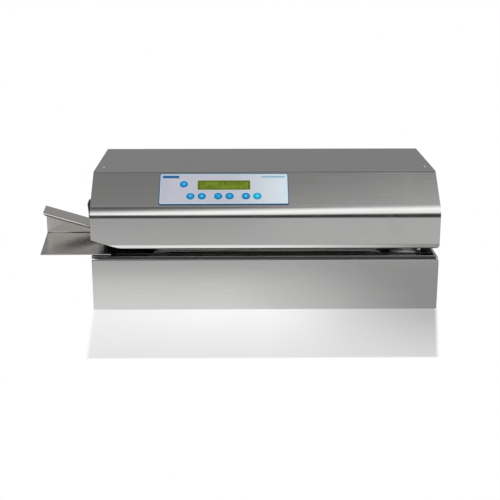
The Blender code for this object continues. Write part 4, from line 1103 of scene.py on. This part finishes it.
class SEALER_OT_keys(Operator):
    """Builds the seven keys as low domes, each on its own body"""

    bl_idname = "sealer.keys"
    bl_label = "Keys"

    def execute(self, context):
        colours = context.scene.sealer_colours
        axes = panel_axes()
        for node, kind in KEYS.items():
            (x, y), radius, top = key_middle(axes, node)
            own = axes.moved(x, y)
            colour = colours.start_key if node == "key_start" else colours.key
            dome = np.linspace(0, 1, 8)[1:, None]
            flat = radius - KEY_EDGE
            crown = np.column_stack([flat * (1 - dome), top + KEY_CROWN * (1 - (1 - dome) ** 2)])
            corners = [(radius - 0.001, KEY_FOOT), (radius, KEY_FOOT), (radius, top), (flat, top)]
            side = bent_path(corners, [0.0002, 0.0004], steps=5, hold=0.00003)
            profile = np.concatenate([[(0, KEY_FOOT)], side, crown])
            sewn(f"{node}_dome", [turned(own, profile, 48)], key_blue(f"Key {kind}", own, colour, kind),
                 body=f"{node}_cap", replaces=[node])
        return {"FINISHED"}


class SEALER_OT_display(Operator):
    """Builds the display's window with softened edges"""

    bl_idname = "sealer.display"
    bl_label = "Display"

    def execute(self, context):
        axes = panel_axes()
        low, high = axes.span("display_window")
        middle, half = (low + high) / 2, (high - low) / 2
        own = axes.moved(middle[0], middle[1])
        profile = [(half[1], low[2]), (0, low[2]), (0, high[2] - 0.0003), (0.0003, high[2]),
                   (half[1], high[2])]
        sewn("display_glass", [rimmed(own, half[0], half[1], 0.0006, profile)],
             display_glass(own, half[0] * 2, half[1] * 2), replaces=["display_window"])
        return {"FINISHED"}


class SEALER_OT_switch(Operator):
    """Builds the mains switch on the left side: its frame and its curved rocker"""

    bl_idname = "sealer.switch"
    bl_label = "Mains Switch"

    def execute(self, context):
        low, high = reach_of("switch_bezel")
        half = np.array([high[1] - low[1], high[2] - low[2]]) / 2
        spot = np.array([-HALF, (low[1] + high[1]) / 2, (low[2] + high[2]) / 2])
        axes = facing(spot, "-X")
        proud = -low[0] - HALF
        border = 0.0035
        corners = [(0, 0.0003), (0, proud), (border, proud), (border, -0.006)]
        outer = bent_path(corners, [0.0012, 0.0006], steps=6)
        well = half - border
        bezel = rimmed(axes, *half, 0.002, [*outer, (border + well[0], -0.006)])
        sewn("switch_frame", [bezel], black_plastic(), inside=spot + (0.03, 0, 0),
             replaces=["switch_bezel"])
        low, high = reach_of("switch_rocker")
        rocker = np.array([high[1] - low[1], high[2] - low[2]]) / 2
        valley = 0.0050

        def lift(points):
            """The face dips in the middle and stands highest at its upper end."""
            up = points[..., 1] / rocker[1]
            face = valley + np.where(up > 0, 0.0015, 0.0002) * np.abs(up) ** 1.6 + 0.0001 * up
            heights = points[..., 2]
            return np.where(heights > 0, heights * face / valley, heights)

        corners = [(rocker[0], -0.0030), (0, -0.0030), (0, valley), (rocker[0], valley)]
        profile = bent_path(corners, [0.0004, 0.0009], steps=6, hold=0.0001)
        paddle = rimmed(axes, *rocker, 0.0012, profile, lift=lift)
        sewn("switch_paddle", [paddle], black_plastic(), body="rocker",
             replaces=["switch_rocker"])
        return {"FINISHED"}


# ---- Transport ------------------------------------------------------------------------------------
class SEALER_OT_wheels(Operator):
    """Builds the two silicone pressure wheels, with their rims, recesses and hubs"""

    bl_idname = "sealer.wheels"
    bl_label = "Pressure Wheels"

    def execute(self, context):
        segments = context.scene.sealer_stage.segments
        for node, body, bore in (
            ("upper_pressure_wheel", "upper_wheel", 0.0043),
            ("lower_pressure_wheel", "lower_wheel", 0.0053),
        ):
            low, high = reach_of(node)
            radius = (high[2] - low[2]) / 2
            axes = facing(np.array([(low[0] + high[0]) / 2, 0, (low[2] + high[2]) / 2]), "-Y")
            front, rear = -low[1], -high[1]
            corners = [(bore, front - 0.001), (0.010, front - 0.001), (0.010, front - 0.004),
                       (0.020, front - 0.004), (0.020, front), (radius, front), (radius, rear), (bore, rear)]
            bends = [0.0004, 0.0003, 0.0006, 0.0005, 0.0012, 0.0012, 0.0004]
            shape = bent_path([*corners, corners[0]], bends, steps=5, hold=0.0002)
            tread = np.column_stack([radius - GROOVE_HALF * np.array([0, 1, 1, 0]),
                                     WHEEL_GROOVE + GROOVE_HALF * np.array([2, 1, -1, -2])])
            place = np.argmax((np.abs(shape[:, 0] - radius) < 1e-6) & (shape[:, 1] < WHEEL_GROOVE))
            shape = np.insert(shape, place, tread, axis=0)
            tyre = turned(axes, shape[:-1], segments, closed=True)
            sewn(f"{body}_tyre", [tyre], cast_silicone(), body=body, replaces=[node])
        return {"FINISHED"}


class SEALER_OT_belts(Operator):
    """Builds both belts as flat loops with a map that runs along and across them"""

    bl_idname = "sealer.belts"
    bl_label = "Belts"

    def execute(self, context):
        for node in ("upper_belt", "lower_belt"):
            low, high = reach_of(node)
            radius = (high[2] - low[2]) / 2
            ends, level = np.array([low[0] + radius, high[0] - radius]), (low[2] + high[2]) / 2
            wide = high[1] - low[1]
            half_turn = np.linspace(0, np.pi, 33)[1:-1]
            runs = np.linspace(ends[0], ends[1], 60)
            across, down = np.sin(half_turn), -np.cos(half_turn)
            still, full = np.zeros(len(runs)), np.ones(len(runs))
            line = np.concatenate([
                np.column_stack([runs, still, -full]),
                np.column_stack([np.full(len(half_turn), ends[1]), across, down]),
                np.column_stack([runs[::-1], still, full]),
                np.column_stack([np.full(len(half_turn), ends[0]), -across, -down]),
            ])
            edge = rounded_rectangle(wide / 2, BELT_THICK / 2, 0.0003, 3)
            level_r = radius - BELT_THICK / 2 + edge[:, 1]
            xs = line[:, 0][:, None] + line[:, 1][:, None] * level_r[None]
            zs = level + line[:, 2][:, None] * level_r[None]
            ys = np.broadcast_to((low[1] + high[1]) / 2 + edge[:, 0][None], xs.shape)
            loop = patch(np.stack([xs, ys, zs], -1), wrap_rows=True, wrap_columns=True)
            belt = sewn(f"{node}_loop", [loop], woven_belt(), replaces=[node])
            map_belt(belt, ends, level)
        return {"FINISHED"}


def map_belt(belt, ends, level):
    """Gives a belt its map: distance round the loop by distance across. The distance round is the run to the
    nearer pulley plus that pulley's radius times the angle round it."""
    mesh = belt.data
    places = np.empty(len(mesh.vertices) * 3)
    mesh.vertices.foreach_get("co", places)
    x, y, z = (places.reshape(-1, 3) - PLACE).T
    centre = np.clip(x, ends[0], ends[1])
    angle = np.arctan2(x - centre, level - z)
    span = ends[1] - ends[0]
    lower, upper = centre - ends[0], 2 * span + 0.12 - centre
    along = np.where(np.abs(angle) < np.pi / 2, lower, upper) + BELT_LINE * angle
    corners = np.empty(len(mesh.loops), np.int32)
    mesh.loops.foreach_get("vertex_index", corners)
    layer = mesh.uv_layers.new(name="belt")
    layer.uv.foreach_set("vector", np.column_stack([along, y])[corners].astype(np.float32).ravel())


# ---- Fixings, feet and rear -----------------------------------------------------------------------
def screw_head(axes, radius=0.0032, height=0.0017):
    """A pan head: its height falls with the fourth power of the radius, and a cross recess is pressed in
    where either arm of the cross covers it."""
    share_out = np.linspace(0, 1, 14)
    angles = np.linspace(0, 2 * np.pi, 48, endpoint=False)
    r, a = share_out[:, None] * radius, angles[None]
    x, y = r * np.cos(a), r * np.sin(a)
    dome = height * (1 - 0.55 * share_out[:, None] ** 4) * np.ones_like(a)
    arm = np.minimum(np.abs(x), np.abs(y))
    recess = np.clip((0.00045 - arm) / 0.00012, 0, 1) * np.clip((radius * 0.62 - r) / 0.0003, 0, 1)
    top = np.stack([x, y, dome - recess * 0.0008], -1)
    skirt = top[-1:].copy()
    skirt[..., 2] = SCREW_UNDER
    under = np.zeros_like(skirt)
    under[..., 2] = SCREW_UNDER
    return patch(axes.stand(np.concatenate([top, skirt, under])), wrap_columns=True)


def screw_places():
    """Where the housing's screws sit, and which way each one faces."""
    sheet = bpy.context.scene.sealer_sheet
    places = [((x, sheet.slope_depth + 0.035, COVER_TOP), "+Z") for x in (-HALF + 0.012, HALF - 0.012)]
    places += [((x, COVER_DEPTH, COVER_TOP - 0.011), "+Y") for x in (-0.245, -0.085, 0.085, 0.245)]
    rear = reach_of("rear_panel")[1][1]
    places += [((x, rear, z), "+Y") for x in (-0.262, 0.262) for z in (0.018, 0.085)]
    under = reach_of("bottom_plate")[0][2]
    places += [((x, y, under), "-Z") for x in (-0.262, 0.0, 0.262) for y in (0.012, 0.248)]
    x, z = middle_of("fan_frame")[[0, 2]]
    places += [((x + dx, rear, z + dz), "+Y") for dx in (-0.025, 0.025) for dz in (-0.025, 0.025)]
    return places


class SEALER_OT_screws(Operator):
    """Builds the cross-recessed screws of the cover, the rear panel, the fan and the bottom plate"""

    bl_idname = "sealer.screws"
    bl_label = "Screws"

    def execute(self, context):
        heads = [screw_head(facing(np.array(place), way)) for place, way in screw_places()]
        sewn("housing_screws", heads, plated_steel(), smooth=50)
        return {"FINISHED"}


class SEALER_OT_feet(Operator):
    """Builds the four rubber feet, with a rounded tread and a recessed middle"""

    bl_idname = "sealer.feet"
    bl_label = "Feet"

    def execute(self, context):
        for node in ("foot_front_left", "foot_front_right", "foot_rear_left", "foot_rear_right"):
            low, high = reach_of(node)
            middle, radius, tall = (low + high) / 2, (high[0] - low[0]) / 2, high[2] - low[2]
            axes = facing(np.array([middle[0], middle[1], low[2]]), "+Z")
            corners = [(0, 0.0012), (0.0035, 0.0012), (0.0040, 0), (radius, 0), (radius * 0.85, tall),
                       (0, tall)]
            profile = bent_path(corners, [0.0003, 0.0003, 0.0010, 0.0005], steps=5, hold=0.0001)
            foot = turned(axes, profile, 48)
            sewn(f"{node}_tread", [foot], black_rubber(), replaces=[node])
        return {"FINISHED"}


class SEALER_OT_rear(Operator):
    """Builds the rear's fittings: finger guard over the fan, rating plate and the inlet's fuse drawer"""

    bl_idname = "sealer.rear"
    bl_label = "Rear Fittings"

    def execute(self, context):
        x, z = middle_of("fan_frame")[[0, 2]]
        rear = reach_of("rear_panel")[1][1]
        axes = facing(np.array([x, rear, z]), "+Y")
        angles = np.linspace(0, 2 * np.pi, 12, endpoint=False)
        beside, out = GUARD_WIRE * np.cos(angles), GUARD_WIRE * np.sin(angles)
        rings = []
        for radius in GUARD_RINGS:
            section = np.column_stack([radius + beside, 0.0018 + out])
            rings.append(turned(axes, section, 72, closed=True))
        for lean in (math.radians(45), math.radians(-45)):
            along = np.linspace(-GUARD_REACH, GUARD_REACH, 24)[:, None]
            bow = 0.0006 + 0.0006 * np.clip((GUARD_REACH - np.abs(along)) / 0.004, 0, 1)
            spoke = np.stack([along * math.cos(lean) - out * math.sin(lean),
                              along * math.sin(lean) + out * math.cos(lean), bow - 0.0002 + beside], -1)
            rings.append(patch(axes.stand(spoke), wrap_columns=True))
        sewn("fan_guard", rings, plated_steel())
        label = facing(np.array([-0.060, rear, 0.060]), "+Y")
        closed = RATING_PLATE[1]
        profile = [(closed, 0), (0, 0), (0, 0.0003), (0.0002, 0.0005), (closed, 0.0005)]
        plate = rimmed(label, *RATING_PLATE, 0.002, profile)
        sewn("rating_plate", [plate], rating_print(label))
        inlet = middle_of("mains_inlet")
        drawer = facing(np.array([inlet[0] + 0.0145, reach_of("mains_inlet")[1][1], inlet[2]]), "+Y")
        closed = FUSE_DRAWER[0]
        profile = bent_path([(closed, -0.0009), (0, -0.0009), (0, 0.0008), (closed, 0.0008)],
                            [0.0001, 0.0005], steps=4, hold=0.0001)
        front = rimmed(drawer, *FUSE_DRAWER, 0.0008, profile)
        sewn("fuse_drawer", [front], black_plastic())
        return {"FINISHED"}


def rating_print(axes):
    """A silver plate with plain bars in place of its text."""
    made, tree, shader, place = blank("Rating plate")
    streak = grained(tree, place, (20, 1200, 1200))[0]
    away = vectors(tree, "SUBTRACT", place, tuple(axes.middle + PLACE))
    across, _, up = split(tree, away)
    spot = put(tree, "ShaderNodeCombineXYZ", {0: across, 1: up, 2: 0.0}).outputs[0]
    lines = []
    for row in range(5):
        shift = 0.004 * (row % 2)
        lines.append(bar_mask(tree, spot, (shift, 0.011 - 0.0055 * row), (0.024 - shift, 0.0011), 0.0003))
    ground = blended(tree, streak, (0.52, 0.53, 0.54), (0.64, 0.65, 0.66))
    colour = blended(tree, any_of(tree, lines), ground, (0.03, 0.03, 0.035))
    wire(tree, shader, colour=colour, roughness=scaled(tree, streak, 0, 1, 0.34, 0.46), metallic=0.7)
    return made


class SEALER_OT_finishes(Operator):
    """Gives every CAD node that still shows its finish, by its material slot"""

    bl_idname = "sealer.finishes"
    bl_label = "Frame Finishes"

    def execute(self, context):
        slots = {row["node"]: row["material_slot"] for row in frame["record"]["subparts"]}
        finishes = {
            "plated_steel": plated_steel, "black_steel": coated_steel, "aluminium": milled_aluminium,
            "brass": machined_brass, "grey_silicone": cast_silicone, "black_plastic": black_plastic,
            "white_plastic": acetal, "black_rubber": black_rubber, "board_green": circuit_board,
        }
        own = {"side_plate_left": brushed_steel("Y"), "side_plate_right": brushed_steel("Y"),
               "rear_panel": brushed_steel("X")}
        for name, node in frame["nodes"].items():
            slot = slots[name]
            if name in own or slot in finishes:
                node.data.materials.clear()
                node.data.materials.append(own[name] if name in own else finishes[slot]())
        return {"FINISHED"}


# ---- Stage ----------------------------------------------------------------------------------------
def ramp(tree, value, stops):
    """A colour ramp of greys: each stop is a place and a brightness, and brightness is scaled back by the
    top."""
    node = put(tree, "ShaderNodeValToRGB", {0: value})
    node.color_ramp.interpolation = "LINEAR"
    top = max(level for _, level in stops)
    elements = node.color_ramp.elements
    while len(elements) < len(stops):
        elements.new(0.5)
    for element, (spot, level) in zip(elements, stops):
        element.position = spot
    for element, (spot, level) in zip(elements, stops):
        element.color = (level / top, level / top, level / top, 1)
    return times(tree, put(tree, "ShaderNodeRGBToBW", {0: node.outputs[0]}).outputs[0], top)


# Brightness by degrees from the front horizon over the zenith
WALL = ((0, 1.15), (25, 1.3), (36, 1.5), (42, 1.42), (46, 1.28), (51, 1.05), (55, 0.82), (60, 0.56),
        (64, 0.38), (68, 0.24), (74, 0.17), (80, 0.14))
BEHIND = ((90, 0.20), (93.6, 0.22), (133.2, 0.18), (142.2, 0.42), (153.9, 0.50), (162, 0.26), (180, 0.27))
WALL_CLIMB = 130  # degrees by which the wall's gradient climbs for a step of one to the right
FOOT = 14  # degrees from the floor up to the wall's foot
FOOT_CLIMB = 55
STRIP = (0.28, 0.58)  # brightness overhead, at the left and at the right


def studio_world():
    """The studio round the machine by direction. Angles run from the front horizon over the zenith to the
    back: a dark gap over the floor, a tall bright wall whose upper edge climbs to the right, a strip
    overhead and a plain grey wall behind. The camera itself sees plain white."""
    world = bpy.data.worlds.new("Studio")
    bpy.context.scene.world = world
    world.use_nodes = True
    tree = world.node_tree
    tree.nodes.clear()
    away = vectors(tree, "NORMALIZE", put(tree, "ShaderNodeTexCoord").outputs["Generated"])
    x, y, z = split(tree, away)
    angle = maths(tree, "DIVIDE", maths(tree, "ARCTAN2", z, times(tree, y, -1.0)), math.radians(180))
    side = maths(tree, "MINIMUM", maths(tree, "MAXIMUM", x, -0.2), 0.2)
    climbed = minus(tree, angle, times(tree, side, WALL_CLIMB / 180))
    wall = ramp(tree, climbed, [(degrees / 180, level) for degrees, level in WALL])
    foot = plus(tree, FOOT / 180, times(tree, maths(tree, "MAXIMUM", side, 0.0), FOOT_CLIMB / 180))
    over_foot = scaled(tree, minus(tree, angle, foot), -6 / 180, 7 / 180, 0.04, 1.0)
    front = times(tree, wall, over_foot)
    lit = times(tree, scaled(tree, angle, 79 / 180, 87 / 180, 0.0, 1.0),
                scaled(tree, angle, 89.6 / 180, 93 / 180, 1.0, 0.0))
    strip = times(tree, scaled(tree, x, -0.05, 0.11, *STRIP), lit)
    behind = ramp(tree, angle, [(degrees / 180, level) for degrees, level in BEHIND])
    at_back = scaled(tree, angle, 86 / 180, 94 / 180, 0.0, 1.0)
    walls = between(tree, at_back, plus(tree, front, strip), behind)
    seen = put(tree, "ShaderNodeLightPath").outputs["Is Camera Ray"]
    level = between(tree, seen, walls, 1.0)
    shown = put(tree, "ShaderNodeBackground", {"Color": (1, 1, 1, 1), "Strength": level})
    out = put(tree, "ShaderNodeOutputWorld")
    tree.links.new(shown.outputs[0], out.inputs["Surface"])


def flat_sheet(name, low, high, height, finish):
    """A plain rectangle that faces up."""
    mesh = bpy.data.meshes.new(name)
    mesh.from_pydata([(low[0], low[1], height), (high[0], low[1], height), (high[0], high[1], height),
                      (low[0], high[1], height)], [], [(0, 1, 2, 3)])
    mesh.materials.append(finish)
    sheet = bpy.data.objects.new(name, mesh)
    bpy.context.scene.collection.objects.link(sheet)
    return sheet


# The floor's brightness as the steel sees it, by metres: forwards for near and far, to the right for the
# share of near and for steep looks
NEAR = ((0, 0.42), (0.032, 0.42), (0.05, 0.40), (0.08, 0.36), (0.12, 0.32), (0.168, 0.24), (0.208, 0.15),
        (0.236, 0.07), (0.288, 0))
NEAR_SHARE = ((-0.5, 1), (-0.05, 0.95), (0.045, 0.60), (0.13, 0.42), (0.205, 0.18), (0.26, 0.02))
STEEP_LOOK = ((0, 1.15), (0.06, 1.05), (0.133, 0.85), (0.212, 0.62), (0.26, 0.42))
FAR_LEFT = ((0, 0.59), (0.38, 0.59), (0.54, 0.51), (0.80, 0.47), (1.20, 0.04))
FAR_RIGHT = ((0, 0.64), (0.80, 0.61), (1.20, 0.04))
# The brightness of the painted reflection and shadow of the machine on the floor, to the right, close to the
# machine and at its front end
PAINTED_REFLECTION_NEAR = ((-0.25, 0.87), (-0.10, 0.93), (0, 0.92), (0.055, 0.85), (0.133, 0.67), (0.212, 0.54),
              (0.26, 0.49))
PAINTED_REFLECTION_FAR = ((-0.25, 0.78), (0, 0.78), (0.055, 0.76), (0.133, 0.72), (0.212, 0.685), (0.26, 0.68))
PAINTED_REFLECTION_LENGTH = 0.202
PAINTED_REFLECTION_EDGE = 0.008
PAINTED_REFLECTION_SHIFT = 0.044  # to the left for each metre forwards
PAINTED_REFLECTION_NARROWING = 0.47  # share of its width for each metre forwards


def by_place(tree, place, stops, reach, start=0.0):
    """A ramp whose stops are given in metres, from a start and over a reach."""
    value = times(tree, minus(tree, place, start), 1 / reach)
    return ramp(tree, value, [((spot - start) / reach, level) for spot, level in stops])


def painted_reflection_and_shadow(tree, x, y, ahead):
    """The floor's brightness as the camera sees it: plain white, with a painted reflection of the machine
    before it and painted shadow under it, darker to the right.
    Its width narrows forwards, so the place across is shifted and divided by what is left of the
    width."""
    narrowed = maths(tree, "DIVIDE", plus(tree, x, times(tree, ahead, PAINTED_REFLECTION_SHIFT)),
                     minus(tree, 1.0, times(tree, ahead, PAINTED_REFLECTION_NARROWING)))
    spot = put(tree, "ShaderNodeCombineXYZ", {0: narrowed, 1: y, 2: 0.0}).outputs[0]
    half_size = (HALF + PAINTED_REFLECTION_EDGE / 2, (BASE_DEPTH + PAINTED_REFLECTION_LENGTH) / 2, 0)
    shape = {"Vector": spot, "Middle": (0, (BASE_DEPTH - PAINTED_REFLECTION_LENGTH) / 2, 0), "Half size": half_size,
             "Radius": (0.0001, 0.0001, 0)}
    inside = scaled(tree, use(tree, printed_bar(), shape)["Distance"], -PAINTED_REFLECTION_EDGE, 0.0, 1.0, 0.0)
    close = by_place(tree, x, PAINTED_REFLECTION_NEAR, 1, -0.5)
    far = by_place(tree, x, PAINTED_REFLECTION_FAR, 1, -0.5)
    # sheen: brightness of the painted reflection and shadow, eased from close to far
    sheen = between(tree, scaled(tree, ahead, 0.02, 0.20, 0, 1, smooth=False), close, far)
    return between(tree, inside, 1.0, sheen)


def studio_floor(size):
    """A white floor. The camera sees it white, with a painted reflection of the machine laid out before it
    and painted shadow under it. The steel sees the floor's glow: brightest straight down, close to the
    machine and on the left, then grey with distance."""
    made, tree, shader, place = blank("Studio floor")
    x, y, _ = split(tree, vectors(tree, "SUBTRACT", place, tuple(PLACE)))
    ahead = maths(tree, "MAXIMUM", times(tree, y, -1.0), 0.0)
    near = times(tree, by_place(tree, ahead, NEAR, 0.4), by_place(tree, x, NEAR_SHARE, 1, -0.5))
    flat_look = plus(tree, scaled(tree, x, 0.03, 0.22, 0.52, 0.40), near)
    steep_look = by_place(tree, x, STEEP_LOOK, 1, -0.5)
    facing_away = put(tree, "ShaderNodeLayerWeight", {"Blend": 0.5}).outputs["Facing"]
    close = between(tree, scaled(tree, facing_away, 0.45, 0.62, 0, 1), steep_look, flat_look)
    far = between(tree, scaled(tree, x, -0.12, 0.12, 0, 1), by_place(tree, ahead, FAR_LEFT, 2),
                  by_place(tree, ahead, FAR_RIGHT, 2))
    level = between(tree, scaled(tree, ahead, 0.28, 0.36, 0, 1), close, far)
    seen = put(tree, "ShaderNodeLightPath").outputs["Is Camera Ray"]
    tree.nodes.remove(shader)
    # sheen: the painted reflection and shadow of the machine, as the camera sees the floor
    sheen = painted_reflection_and_shadow(tree, x, y, ahead)
    shown = put(tree, "ShaderNodeEmission", {"Color": (1, 1, 1, 1), "Strength": sheen})
    glow = put(tree, "ShaderNodeEmission", {"Color": (1, 1, 1, 1), "Strength": level})
    mixed = put(tree, "ShaderNodeMixShader", {0: seen, 1: glow.outputs[0], 2: shown.outputs[0]})
    tree.links.new(mixed.outputs[0], tree.nodes["Material Output"].inputs["Surface"])
    half = size / 2
    flat_sheet("floor", (-half, -half), (half, half), -0.0002, made)


def black_flag():
    """A narrow black card held level with the cover's lip. Only its underside shows, and only in the
    steel: it keeps the bright wall out of the base's rolled edge."""
    made, tree, shader, _ = blank("Black flag")
    tree.nodes.remove(shader)
    above = minus(tree, 1.0, put(tree, "ShaderNodeNewGeometry").outputs["Backfacing"])
    dark = put(tree, "ShaderNodeEmission", {"Color": (1, 1, 1, 1), "Strength": 0.045})
    clear = put(tree, "ShaderNodeBsdfTransparent")
    mixed = put(tree, "ShaderNodeMixShader", {0: above, 1: dark.outputs[0], 2: clear.outputs[0]})
    tree.links.new(mixed.outputs[0], tree.nodes["Material Output"].inputs["Surface"])
    low, high = PLACE + (-HALF, -0.065, 0), PLACE + (HALF + 0.02, -0.0005, 0)
    card = flat_sheet("black_flag", low[:2], high[:2], COVER_BOTTOM + 0.004, made)
    card.visible_camera = card.visible_diffuse = card.visible_shadow = False


def soft_light(name, place, size, power, target=(0, 0.1, 0.1)):
    """A large soft lamp that fills plain surfaces and isn't mirrored in the steel."""
    data = bpy.data.lights.new(name, "AREA")
    data.shape = "RECTANGLE"
    data.size, data.size_y = size
    data.energy = power
    lamp = bpy.data.objects.new(name, data)
    place = np.array(place) + PLACE
    back = unit(place - (np.array(target) + PLACE))
    lamp.location = place
    lamp.rotation_mode = "QUATERNION"
    lamp.rotation_quaternion = Vector(back).to_track_quat("Z", "Y")
    lamp.visible_glossy = False
    bpy.context.scene.collection.objects.link(lamp)


class SEALER_OT_stage(Operator):
    """Sets the floor, the studio's light and the camera"""

    bl_idname = "sealer.stage"
    bl_label = "Stage"

    def execute(self, context):
        stage = context.scene.sealer_stage
        context.scene.view_settings.view_transform = "Standard"
        studio_world()
        studio_floor(stage.floor_size)
        black_flag()
        soft_light("Key light", (-0.5, -1.6, 2.0), (1.8, 1.2), 24)
        soft_light("Fill light", (1.2, 1.0, 2.4), (2.0, 2.0), 16)
        data = bpy.data.cameras.new("camera")
        data.sensor_width = 36
        data.lens = stage.lens
        camera = bpy.data.objects.new("camera", data)
        camera.location = np.array(stage.camera) + PLACE
        camera.rotation_euler = (math.pi / 2 - stage.pitch, 0, -stage.turn)
        context.scene.collection.objects.link(camera)
        context.scene.camera = camera
        return {"FINISHED"}


# ---- Add-on ---------------------------------------------------------------------------------------
OPERATORS = (
    SEALER_OT_stage,
    SEALER_OT_base,
    SEALER_OT_cover,
    SEALER_OT_guide,
    SEALER_OT_panel,
    SEALER_OT_keys,
    SEALER_OT_display,
    SEALER_OT_switch,
    SEALER_OT_wheels,
    SEALER_OT_belts,
    SEALER_OT_screws,
    SEALER_OT_feet,
    SEALER_OT_rear,
    SEALER_OT_finishes,
)
SETTINGS = {
    "sealer_sheet": SealerSheet,
    "sealer_guide": SealerGuide,
    "sealer_colours": SealerColours,
    "sealer_stage": SealerStage,
}


class SEALER_PT_tools(Panel):
    """Lists the steps that build the sealer"""

    bl_idname = "SEALER_PT_tools"
    bl_label = "Rotary Heat Sealer"
    bl_space_type = "VIEW_3D"
    bl_region_type = "UI"
    bl_category = "Heat Sealer"

    def draw(self, context):
        for operator in OPERATORS:
            self.layout.operator(operator.bl_idname)


def register():
    for kind in (*SETTINGS.values(), *OPERATORS, SEALER_PT_tools):
        bpy.utils.register_class(kind)
    for name, kind in SETTINGS.items():
        setattr(bpy.types.Scene, name, PointerProperty(type=kind))


def unregister():
    for name in SETTINGS:
        delattr(bpy.types.Scene, name)
    for kind in (SEALER_PT_tools, *reversed(OPERATORS), *reversed(SETTINGS.values())):
        bpy.utils.unregister_class(kind)


def main():
    register()
    for operator in OPERATORS:
        family, name = operator.bl_idname.split(".")
        getattr(getattr(bpy.ops, family), name)()


if __name__ == "__main__":
    main()
